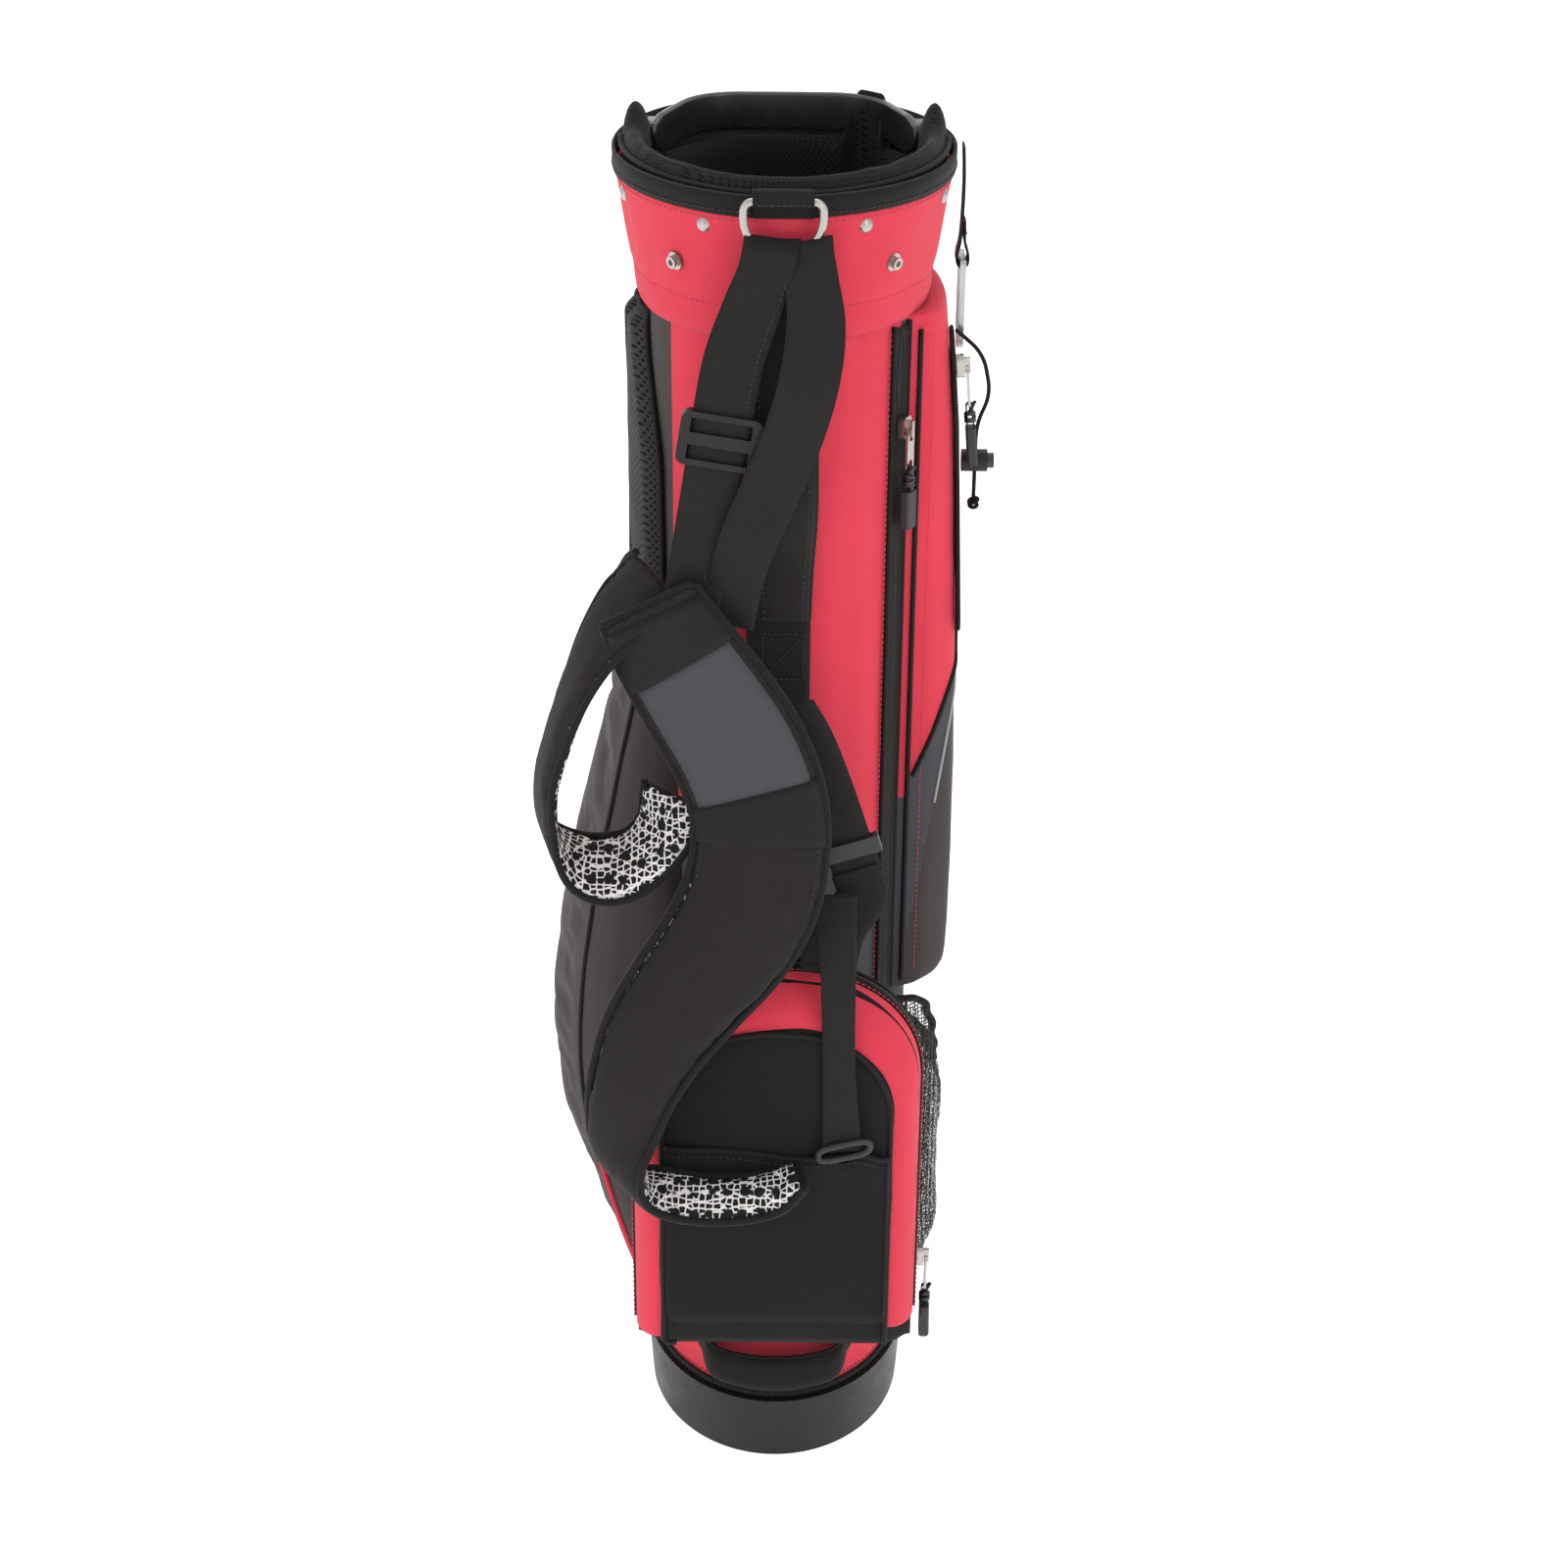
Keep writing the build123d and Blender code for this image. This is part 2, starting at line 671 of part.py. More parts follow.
def ladder_buckle():
    """Buckle that the webbing runs through, with two windows and a bar between them."""
    shape = Box(webbing_width + 10, 30, 6.4)
    shape = fillet(shape.edges().filter_by(Axis.Z), 5)
    shape = shape - Box(webbing_width - 1, 60, webbing_thick + 1.2)
    for y in (-7.5, 7.5):
        shape = shape - Pos(0, y, 3) * Box(webbing_width - 1, 8, 6.4)
    return run_frame(buckle_run, 0.34, webbing_y) * shape


def shoulder_pad_main():
    route = [(-62, 622, 66), (-44, 592, 80), (-18, 548, 92), (-13, 500, 78), (-20, 452, 78), (-52, 408, 72)]
    route = route + [(-80, 362, 60), (-88, 318, 50), (-68, 285, 44), (-30, 268, 34), (8, 276, 30)]
    sag = [(660, -141), (600, -145), (500, -168), (442, -182), (392, -190), (330, -196), (200, -200)]
    return draped(route, sag, pad_thick)


def shoulder_pad_loop():
    route = [(-86, 630, 36), (-108, 600, 40), (-126, 556, 34), (-131, 512, 32)]
    route = route + [(-122, 476, 34), (-98, 464, 40), (-66, 476, 44)]
    sag = [(660, -127), (600, -131.5), (545, -139), (460, -148), (430, -149)]
    return draped(route, sag, 9.0)


tail_y = -145.0
tail_run = ((28.0, 512.0), (45.0, 460.0))


def webbing_tail():
    route = [(14, 545, 30), (*tail_run[0], 28), (*tail_run[1], 28)]
    route = route + [(38, 440, 30), (30, 418, 32), (27, 398, 34)]
    return draped(route, [(600, tail_y), (390, tail_y)], webbing_thick)


def run_frame(run, share, y):
    """Frame on a straight webbing run: local Y up the webbing, local Z out of it."""
    (x0, z0), (x1, z1) = run
    middle = (x0 + (x1 - x0) * share, y, z0 + (z1 - z0) * share)
    across = Vector(z0 - z1, 0, x1 - x0).normalized()
    return Plane(origin=middle, x_dir=across, z_dir=(0, -1, 0))


def tail_slider():
    """Flat loop round the webbing's straight run."""
    ring = Box(36, 10, 6.6) - Box(30.6, 20, webbing_thick + 1.2)
    return run_frame(tail_run, 0.72, tail_y) * ring


def webbing_lower():
    return draped([(35, 393, 24), (36, 350, 24), (38, 300, 24)], [(400, -173), (290, -175)], webbing_thick)


# zips
garment_zip_y = -60.0
garment_zip_low = 330.0
garment_zip_high = 754.0
garment_slider_z = 697.0
tape_thick = 1.6


def surface_frame(y, z):
    """Frame on the body's right side: local X level along the surface, local Y up, local Z outward."""
    x = oval_x(body_half_width, body_half_depth, y)
    away = math.radians(outward_angle(x, y))
    outward = (math.cos(away), math.sin(away), 0)
    return Plane(origin=(x, y, z), x_dir=(-math.sin(away), math.cos(away), 0), z_dir=outward)


def garment_zip_tape():
    strip = surface_frame(garment_zip_y, (garment_zip_low + garment_zip_high) / 2)
    strip = strip * Box(16, garment_zip_high - garment_zip_low, 12)
    grow = skin_gap + tape_thick
    return (strip & oval(body_half_width + grow, body_half_depth + grow, 0, 900)) - around_body()


valuables_y = -30.0
valuables_low = 566.0
valuables_high = 740.0


def valuables_x(z):
    """Face of the right pocket beside the valuables zip."""
    return 94 + (742 - z) / 52 * 4.5 if z > 690 else 98.5 + (690 - z) / 130 * 5.5


def valuables_zip():
    """Narrow zip that lies on the right pocket's face."""
    near = [(valuables_x(z) + 0.3, z) for z in (valuables_high, 690, valuables_low)]
    far = [(x + tape_thick, z) for x, z in near]
    return front_panel(near + far[::-1], valuables_y - 5, valuables_y + 5)


slider_lift = 0.3


def slider_places():
    """Frames under the four sliders: local Y up the zip, local Z out of the fabric."""
    garment = surface_frame(garment_zip_y, garment_slider_z)
    lift = skin_gap + tape_thick + slider_lift
    valuables = valuables_x(722) + 0.3 + tape_thick + slider_lift
    ball = ball_pocket_half_width + trim_thick + slider_lift
    ball_y = ball_pocket_front + 23 + ball_trim_depth / 2
    slanted = Plane(origin=(valuables, valuables_y, 722), x_dir=(0, 1, 0), z_dir=(52, 0, 4.5))
    return {
        "garment": Plane(garment.origin + garment.z_dir * lift, x_dir=garment.x_dir, z_dir=garment.z_dir),
        "valuables": slanted,
        "ball": Plane(origin=(ball, ball_y, 186), x_dir=(0, 1, 0), z_dir=(1, 0, 0)),
    }


def zip_slider():
    """Slider body lying on its tape, with a bridge that holds the pull."""
    body = Pos(0, 0, slider_thick / 2) * Box(slider_width, slider_length, slider_thick)
    body = fillet(body.edges().filter_by(Axis.Z), 2.4)
    bridge = Pos(0, 0, slider_thick + 1.7) * Box(2.4, 9, 3.6)
    return body + bridge - Pos(0, pull_axle_y, pull_axle_z) * along_x(1.1, 10)


pull_axle_y = -1.0
pull_axle_z = slider_thick + 1.6


def zip_pull():
    """Flat metal pull: its axle lies in the slider's bridge."""
    plate = Pos(0, -pull_length / 2, 0) * Box(pull_width, pull_length, pull_thick)
    plate = fillet(plate.edges().filter_by(Axis.Z), 2.8)
    plate = plate - Pos(0, -2.0, 0) * Box(3.2, 8.6, 10) - Pos(0, tab_hole_y, 0) * Box(3.8, 4.4, 10)
    return Pos(0, pull_axle_y, pull_axle_z) * (plate + along_x(0.95, 4.2))


tab_hole_y = -pull_length + 4.2
tab_axle_y = -pull_length + 1.0
tab_loop_radius = 2.35
tab_loop_wall = 1.0


def pull_tab():
    """Moulded grip with its own thin loop round the pull's end bar."""
    low = tab_hole_y - 16
    grip = Pos(0, low - tab_length / 2, 0) * Box(tab_width, tab_length, tab_thick)
    grip = chamfer(grip.edges().filter_by(Axis.Y), 1.2)
    bend = along_x(tab_loop_radius, 2.4) - along_x(tab_loop_radius - tab_loop_wall, 6)
    bend = bend & Pos(0, 5, 0) * Box(10, 10, 10)
    loop = Pos(0, tab_axle_y, 0) * bend
    length = tab_axle_y - low + 1
    for side in (-1, 1):
        place = Pos(0, tab_axle_y - length / 2, side * (tab_loop_radius - tab_loop_wall / 2))
        loop = loop + place * Box(2.4, length, tab_loop_wall)
    return Pos(0, pull_axle_y, pull_axle_z) * (grip + loop)


# towel clip and drawcord
clip_y = 6.0
clip_x = body_half_width + 20.0
clip_eye_z = 774.0


def clip_webbing():
    """Short webbing that hangs from the rim down past the cuff."""
    across = (clip_y - 8, clip_y + 8)
    strip = block((clip_x - 2, clip_x), across, (clip_eye_z, 838))
    hook = block((clip_x - 6, clip_x), across, (832, 838))
    eye = block((clip_x - 4, clip_x + 4), across, (clip_eye_z - 4.2, clip_eye_z + 4.2))
    hole = Pos(clip_x, clip_y, clip_eye_z) * (Rot(90, 0, 0) * Cylinder(2.7, 60))
    return strip + hook + eye - hole


def towel_clip():
    """Long snap clip whose straight top bar lies in the webbing's eye."""
    drop = 27.0
    outside = RectangleRounded(27, 2 * drop, 12) + Pos(0, drop - 14) * RectangleRounded(27, 28, 2.4)
    inside = RectangleRounded(20.2, 2 * drop - 6.8, 8.6) + Pos(0, drop - 14) * RectangleRounded(20.2, 21.2, 1)
    ring = extrude(outside - inside, 1.7, both=True)
    frame = Plane(origin=(clip_x, clip_y, clip_eye_z - drop + 1.7), x_dir=(0, 1, 0), z_dir=(1, 0, 0))
    return frame * ring


cord_radius = 1.2
cord_y = -14.0
lock_z = 660.0
lock_x = 111.5


def cord_route():
    """Stops of the elastic cord, from the seam to its free end."""
    return [
        (97.8, cord_y, 738),
        (114, cord_y, 724),
        (119, cord_y, 700),
        (lock_x, cord_y, 682),
        (lock_x, cord_y, 634),
    ]


def cord_radii(stops):
    radii = []
    for before, here, after in zip(stops, stops[1:], stops[2:]):
        one = Vector(*here) - Vector(*before)
        two = Vector(*after) - Vector(*here)
        turn = math.radians(one.get_angle(two))
        radii.append(0.45 * min(one.length, two.length) / math.tan(turn / 2))
    return radii


def elastic_cord():
    stops = cord_route()
    radii = cord_radii(stops)
    path = FilletPolyline(*stops, radius=radii)
    start = Plane(origin=path @ 0, z_dir=path % 0)
    cord = sweep(start * Circle(cord_radius), path=path)
    expected = math.pi * cord_radius**2 * path.length
    print("elastic_cord radii", [round(r, 1) for r in radii], "length", round(path.length, 1))
    print("elastic_cord volume", round(cord.volume, 1), "expected", round(expected, 1))
    return cord


def cord_lock_barrel():
    """Barrel lock across the cord, open at its outer end for the button."""
    barrel = along_x(6.5, 15)
    barrel = barrel - Rot(0, 0, 0) * Cylinder(cord_radius + 0.5, 40)
    barrel = barrel - Pos(5, 0, 0) * along_x(4.6, 8)
    return Pos(lock_x - 0.5, cord_y, lock_z) * barrel


def cord_lock_button():
    button = along_x(4.5, 7)
    return Pos(lock_x - 0.5 + 7.8, cord_y, lock_z) * button


def save(shape, name):
    export_step(shape, f"parts/{name}.step")


def main():
    os.makedirs("parts", exist_ok=True)
    single = {
        "base_cup": base_cup(),
        "foot_plate": foot_plate(),
        "bag_shell": bag_shell(),
        "divider_frame": divider_frame(),
        "cuff_cover": cuff_cover(),
        "collar_ring": collar_ring(),
        "cuff_binding": cuff_binding(),
        "collar_pad": collar_pad(),
        "lift_handle": lift_handle(),
        "leg_bracket": leg_bracket(),
        "right_pocket": right_pocket(),
        "left_pocket": left_pocket(),
        "ball_pocket": ball_pocket(),
        "ball_trim": ball_trim(),
        "pocket_flap": pocket_flap(),
        "bottle_pouch": bottle_pouch(),
        "hip_pad": hip_pad(),
        "spine_webbing": spine_webbing(),
        "carry_handle": carry_handle(),
        "strap_tab": strap_tab(),
        "strap_ring": strap_ring(),
        "lower_grab_handle": lower_grab_handle(),
        "webbing_left": webbing_left(),
        "webbing_right": webbing_right(),
        "ladder_buckle": ladder_buckle(),
        "shoulder_pad_main": shoulder_pad_main(),
        "shoulder_pad_loop": shoulder_pad_loop(),
        "webbing_tail": webbing_tail(),
        "tail_slider": tail_slider(),
        "webbing_lower": webbing_lower(),
        "garment_zip_tape": garment_zip_tape(),
        "valuables_zip": valuables_zip(),
        "clip_webbing": clip_webbing(),
        "towel_clip": towel_clip(),
        "elastic_cord": elastic_cord(),
        "cord_lock_barrel": cord_lock_barrel(),
        "cord_lock_button": cord_lock_button(),
    }
    for label, side in (("left", -1), ("right", 1)):
        single[f"{label}_leg_knuckle"] = leg_knuckle(side)
        single[f"{label}_leg_tube"] = leg_tube(side)
        single[f"{label}_leg_foot"] = leg_foot(side)
        single[f"{label}_rod_clip"] = rod_clip(side)
        single[f"{label}_push_rod"] = push_rod(side)
    for label, frame in slider_places().items():
        single[f"{label}_slider"] = frame * zip_slider()
        single[f"{label}_pull"] = frame * zip_pull()
        single[f"{label}_tab"] = frame * pull_tab()
    for name, shape in single.items():
        save(shape, name)
        if len(shape.solids()) != 1:
            print("WRONG", name, len(shape.solids()), [round(s.volume, 1) for s in shape.solids()])
    save(pivot_pins(), "leg_pivot_pins")
    save(Compound(children=[support_stay(a) for a in stay_angles.values()]), "support_stays")
    save(dome_rivets(), "dome_rivets")
    save(hood_studs(), "hood_studs")


main()
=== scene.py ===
import json
import math
import bpy
import bmesh
from mathutils import Matrix, Vector, noise
from mathutils.bvhtree import BVHTree

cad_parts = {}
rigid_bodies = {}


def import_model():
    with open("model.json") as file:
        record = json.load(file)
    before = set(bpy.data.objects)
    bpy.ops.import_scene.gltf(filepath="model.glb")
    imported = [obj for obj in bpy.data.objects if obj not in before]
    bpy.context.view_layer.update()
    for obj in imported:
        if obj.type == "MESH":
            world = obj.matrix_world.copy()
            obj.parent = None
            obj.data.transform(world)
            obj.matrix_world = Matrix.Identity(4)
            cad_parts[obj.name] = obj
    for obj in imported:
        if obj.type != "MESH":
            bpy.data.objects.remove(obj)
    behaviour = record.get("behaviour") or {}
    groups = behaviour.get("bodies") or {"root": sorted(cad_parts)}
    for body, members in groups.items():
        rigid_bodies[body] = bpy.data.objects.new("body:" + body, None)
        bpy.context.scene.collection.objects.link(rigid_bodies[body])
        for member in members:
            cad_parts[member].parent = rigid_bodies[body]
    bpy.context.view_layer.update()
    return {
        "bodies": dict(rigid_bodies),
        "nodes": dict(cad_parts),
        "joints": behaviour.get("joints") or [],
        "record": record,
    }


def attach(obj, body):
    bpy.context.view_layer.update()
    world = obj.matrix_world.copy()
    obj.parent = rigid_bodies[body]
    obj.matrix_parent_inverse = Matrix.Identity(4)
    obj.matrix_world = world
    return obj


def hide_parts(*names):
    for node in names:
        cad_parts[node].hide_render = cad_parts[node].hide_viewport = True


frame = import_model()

mm = 0.001
nodes = frame["nodes"]


# small helpers
def oval(halfWidth, halfDepth, angle):
    return halfWidth * math.cos(angle), halfDepth * math.sin(angle)


def wobble(x, y, z, scale, amount):
    return noise.noise(Vector((x / scale, y / scale, z / scale))) * amount


def smoothStep(low, high, value):
    t = max(0.0, min(1.0, (value - low) / (high - low)))
    return t * t * (3 - 2 * t)


def bump(value, middle, width):
    return math.exp(-((value - middle) / width) ** 2)


def curveAt(a, b, c, d, t):
    # Catmull-Rom between b and c
    return 0.5 * (2 * b + (c - a) * t + (2 * a - 5 * b + 4 * c - d) * t * t
                  + (3 * b - 3 * c + d - a) * t ** 3)


def splineThrough(stops, steps):
    # smooth line through rows of numbers of any length
    rows = [stops[0]] + list(stops) + [stops[-1]]
    out = []
    for i in range(1, len(rows) - 2):
        for s in range(steps):
            near = zip(rows[i - 1], rows[i], rows[i + 1], rows[i + 2])
            out.append([curveAt(a, b, c, d, s / steps) for a, b, c, d in near])
    out.append(list(stops[-1]))
    return out


def runAt(path, i):
    # direction of a path at one of its points
    return (path[min(i + 1, len(path) - 1)] - path[max(i - 1, 0)]).normalized()


def newPiece(name, verts, faces, mats, body="bag", slotName=None, faceMats=None, smooth=True):
    mesh = bpy.data.meshes.new(name)
    mesh.from_pydata([tuple(c * mm for c in v) for v in verts], [], faces)
    mesh.validate()
    obj = bpy.data.objects.new(name, mesh)
    bpy.context.scene.collection.objects.link(obj)
    for m in mats if isinstance(mats, (list, tuple)) else [mats]:
        mesh.materials.append(m)
    if faceMats:
        for poly, index in zip(mesh.polygons, faceMats):
            poly.material_index = index
    b = bmesh.new()
    b.from_mesh(mesh)
    bmesh.ops.recalc_face_normals(b, faces=b.faces)
    b.to_mesh(mesh)
    b.free()
    for poly in mesh.polygons:
        poly.use_smooth = smooth
    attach(obj, body)
    return obj


def gridFaces(rows, cols, closeCols=True, closeRows=False):
    faces = []
    for r in range(rows if closeRows else rows - 1):
        for c in range(cols if closeCols else cols - 1):
            a, b = r * cols + c, r * cols + (c + 1) % cols
            up = ((r + 1) % rows) * cols
            faces.append((a, b, up + (c + 1) % cols, up + c))
    return faces


def capped(rows, cols):
    faces = gridFaces(rows, cols)
    faces.append(tuple(range(cols))[::-1])
    faces.append(tuple((rows - 1) * cols + c for c in range(cols)))
    return faces


def shellFaces(rings, around):
    # wall with an outer and an inner skin: outer and inner faces by turns, then the two ends
    inner, last = rings * around, (rings - 1) * around
    faces = []
    for r in range(rings - 1):
        for c in range(around):
            n = (c + 1) % around
            a, b = r * around, (r + 1) * around
            faces.append((a + c, a + n, b + n, b + c))
            faces.append((inner + a + c, inner + b + c, inner + b + n, inner + a + n))
    for c in range(around):
        n = (c + 1) % around
        faces.append((n, c, inner + c, inner + n))
        faces.append((last + c, last + n, inner + last + n, inner + last + c))
    return faces


def sheetFaces(rows, cols):
    # two grids and the wall between their edges; the edge of the first grid comes back too
    wide, half = cols + 1, (rows + 1) * (cols + 1)
    faces = []
    for r in range(rows):
        for c in range(cols):
            a = r * wide + c
            faces.append((a, a + wide, a + wide + 1, a + 1))
            faces.append((half + a, half + a + 1, half + a + wide + 1, half + a + wide))
    edge = list(range(wide)) + [r * wide + cols for r in range(1, rows + 1)]
    edge += [rows * wide + c for c in range(cols - 1, -1, -1)] + [r * wide for r in range(rows - 1, 0, -1)]
    for a, b in zip(edge, edge[1:] + edge[:1]):
        faces.append((a, b, half + b, half + a))
    return faces, edge


def bevelled(obj, width, segments=2, angle=35):
    mod = obj.modifiers.new("edges", "BEVEL")
    mod.width = width * mm
    mod.segments = segments
    mod.limit_method = "ANGLE"
    mod.angle_limit = math.radians(angle)
    return obj


def applyModifiers(obj):
    graph = bpy.context.evaluated_depsgraph_get()
    made = bpy.data.meshes.new_from_object(obj.evaluated_get(graph))
    obj.modifiers.clear()
    old = obj.data
    obj.data = made
    bpy.data.meshes.remove(old)
    return obj


plumpCloth = {"quality": 4, "mass": 0.25, "stiffness": 18, "bending": 0.4, "pressure": 4.0, "slack": 0.03,
              "steps": 20}


def plump(obj, cell, cap, pinned, slack=plumpCloth["slack"]):
    # even mesh, then air pressure in slightly slack cloth; pinned() says which points stay at their seams
    old = obj.data.copy()
    oldTree = BVHTree.FromPolygons([v.co for v in old.vertices], [p.vertices[:] for p in old.polygons])
    kinds = [p.material_index for p in old.polygons]
    remesh = obj.modifiers.new("even", "REMESH")
    remesh.mode = "VOXEL"
    remesh.voxel_size = cell * mm
    applyModifiers(obj)
    start = [v.co.copy() for v in obj.data.vertices]
    group = obj.vertex_groups.new(name="seams")
    group.add([i for i, p in enumerate(start) if pinned(p / mm)], 1.0, "REPLACE")
    cloth = obj.modifiers.new("cloth", "CLOTH")
    cloth.settings.quality = plumpCloth["quality"]
    cloth.settings.mass = plumpCloth["mass"]
    cloth.settings.tension_stiffness = cloth.settings.compression_stiffness = plumpCloth["stiffness"]
    cloth.settings.bending_stiffness = plumpCloth["bending"]
    cloth.settings.use_pressure = True
    cloth.settings.uniform_pressure_force = plumpCloth["pressure"]
    cloth.settings.shrink_min = -slack
    cloth.settings.vertex_group_mass = "seams"
    cloth.settings.effector_weights.gravity = 0
    cloth.collision_settings.use_collision = False
    scene = bpy.context.scene
    for step in range(1, plumpCloth["steps"] + 1):
        scene.frame_set(step)
    eased = obj.evaluated_get(bpy.context.evaluated_depsgraph_get()).to_mesh()
    ends = [v.co.copy() for v in eased.vertices]
    obj.modifiers.remove(cloth)
    scene.frame_set(1)
    for v, before, after in zip(obj.data.vertices, start, ends):
        move = after - before
        far = move.length
        v.co = before + (move * (cap * mm * math.tanh(far / (cap * mm)) / far) if far > 1e-9 else move)
    for poly in obj.data.polygons:
        near = oldTree.find_nearest(poly.center)
        poly.material_index = kinds[near[2]]
        poly.use_smooth = True
    soft = obj.modifiers.new("soft", "SUBSURF")
    soft.levels = soft.render_levels = 1


def strapFrames(stops, steps=10):
    # point, tangent, across, outward and width along a strap; a stop is x, y, z, across direction and width
    rows = splineThrough(stops, steps)
    path = [Vector(r[:3]) for r in rows]
    out = []
    for i, r in enumerate(rows):
        tangent, hint = runAt(path, i), Vector(r[3:6])
        across = (hint - tangent * hint.dot(tangent)).normalized()
        out.append((path[i], tangent, across, tangent.cross(across), r[6]))
    return out


def threadMarks(obj, marks):
    # distances along and across a strap, which its weave follows
    for index, label in enumerate(("along", "across")):
        layer = obj.data.attributes.new(label, "FLOAT", "POINT")
        for item, mark in zip(layer.data, marks):
            item.value = mark[index] * mm


def strapBody(name, frames, shape, mats, slotName, body="bag", flip=1):
    # closed band: shape has thick, crown (superellipse power) and across samples
    count = shape.get("samples", 9)
    verts, marks = [], []
    run = 0.0
    before = None
    for p, t, a, n, width in frames:
        run += (p - before).length if before is not None else 0.0
        before = p
        for side in (1, -1):
            for i in range(count):
                u = (-1 + 2 * i / (count - 1)) * side
                u = math.copysign(abs(u) ** 0.85, u)
                lift = shape["thick"] / 2 * max(0.0, 1 - abs(u) ** shape["crown"]) ** (1 / shape["crown"])
                lift = max(lift, shape["thick"] * shape.get("rim", 0.22) / 2)
                spot = p + a * (u * width / 2) + n * (side * flip * lift)
                verts.append(tuple(spot))
                marks.append((run, u * width / 2, side))
    cols = 2 * count
    faces = capped(len(frames), cols)
    faceMats = []
    for f in faces:
        sides = sum(marks[i][2] for i in f) / len(f)
        faceMats.append(0 if sides > 0.4 else (1 if sides < -0.4 else 2))
    if not isinstance(mats, (list, tuple)):
        mats = [mats, mats, mats]
    obj = newPiece(name, verts, faces, mats, body, slotName, faceMats)
    threadMarks(obj, marks)
    return obj


def tubeVerts(path, radius, sides=8, closed=False, flat=1.0):
    verts = []
    hint = Vector((0, -1, 0.01))
    count = len(path)
    for i, p in enumerate(path):
        tangent = (path[(i + 1) % count] - path[i - 1]).normalized() if closed else runAt(path, i)
        one = hint - tangent * hint.dot(tangent)
        if one.length < 0.05:
            one = tangent.orthogonal()
        one.normalize()
        two = tangent.cross(one)
        for k in range(sides):
            w = 2 * math.pi * k / sides
            verts.append(tuple(p + one * (math.cos(w) * radius * flat) + two * (math.sin(w) * radius)))
    return verts


def pipe(name, path, radius, mat, slotName, body="bag", closed=False, sides=8, flat=1.0):
    verts = tubeVerts([Vector(p) for p in path], radius, sides, closed, flat)
    faces = gridFaces(len(path), sides, closeRows=True) if closed else capped(len(path), sides)
    return newPiece(name, verts, faces, mat, body, slotName)


def alongSeam(spots, first, pitch):
    # even places on a seam of (point, outward) pairs: point, outward and direction
    spots = [(Vector(p), Vector(n).normalized()) for p, n in spots]
    run, due = 0.0, first
    for (p0, n0), (p1, n1) in zip(spots, spots[1:]):
        step = (p1 - p0).length
        while step > 1e-6 and due <= run + step:
            t = (due - run) / step
            yield p0.lerp(p1, t), n0.lerp(n1, t).normalized(), (p1 - p0).normalized()
            due += pitch
        run += step


def stitchRow(name, spots, mat, slotName, body="bag", pitch=3.6, length=2.4, radius=0.36):
    # each stitch is a small rounded bar
    verts, faces, bar = [], [], capped(4, 5)
    for centre, out, along in alongSeam(spots, pitch / 2, pitch):
        side = along.cross(out)
        faces += [tuple(len(verts) + i for i in f) for f in bar]
        for s, r in ((-0.5, 0.35), (-0.3, 1.0), (0.3, 1.0), (0.5, 0.35)):
            for k in range(5):
                w = 2 * math.pi * k / 5
                q = centre + along * (s * length) + (out * math.cos(w) + side * math.sin(w)) * (radius * r)
                verts.append(tuple(q))
    return newPiece(name, verts, faces, mat, body, slotName)


def coilRows(name, spots, mat, slotName, body="bag", pitch=1.5, reach=2.3, radius=0.5):
    # interlocked zip coil: small loops laid across the chain, alternating sides
    verts, faces, loop = [], [], capped(4, 4)
    for count, (centre, out, along) in enumerate(alongSeam(spots, 0.0, pitch / 2)):
        side = along.cross(out) * (1 if count % 2 else -1)
        faces += [tuple(len(verts) + i for i in f) for f in loop]
        for s, h, drift in ((-0.25, 0.2, 0), (0.1, 0.75, 0.1), (0.7, 0.8, 0.2), (1.0, 0.2, 0.25)):
            mid = centre + side * (s * reach) + out * (h * radius) + along * (drift * pitch)
            for k in range(4):
                w = 2 * math.pi * k / 4 + 0.78
                verts.append(tuple(mid + (out * math.cos(w) + along * math.sin(w)) * radius * 0.8))
    return newPiece(name, verts, faces, mat, body, slotName)


# materials
class Nodes:
    # short wrapper that adds and links shader nodes
    def __init__(self, name):
        self.mat = bpy.data.materials.new(name)
        self.mat.use_nodes = True
        self.tree = self.mat.node_tree
        self.shader = self.tree.nodes["Principled BSDF"]

    def add(self, kind, inputs=None, **settings):
        node = self.tree.nodes.new(kind)
        for key, value in settings.items():
            setattr(node, key, value)
        for key, value in (inputs or {}).items():
            self.join(value, node, key)
        return node

    def join(self, value, node, key):
        if hasattr(value, "is_linked") or hasattr(value, "links"):
            self.tree.links.new(value, node.inputs[key])
        else:
            node.inputs[key].default_value = value

    def math(self, kind, a, b=0.0, clamp=False):
        node = self.tree.nodes.new("ShaderNodeMath")
        node.operation = kind
        node.use_clamp = clamp
        self.join(a, node, 0)
        self.join(b, node, 1)
        return node.outputs[0]

    def mixColor(self, factor, a, b):
        node = self.tree.nodes.new("ShaderNodeMix")
        node.data_type = "RGBA"
        self.join(factor, node, 0)
        self.join(a, node, 6)
        self.join(b, node, 7)
        return node.outputs[2]

    def bumpIn(self, height, strength, distance):
        node = self.add("ShaderNodeBump", {"Strength": strength, "Distance": distance, "Height": height})
        self.tree.links.new(node.outputs[0], self.shader.inputs["Normal"])

    def set(self, **values):
        for key, value in values.items():
            self.join(value, self.shader, key.replace("_", " "))


def tone(color, factor):
    return tuple(min(1.0, c * factor) for c in color[:3]) + (1.0,)


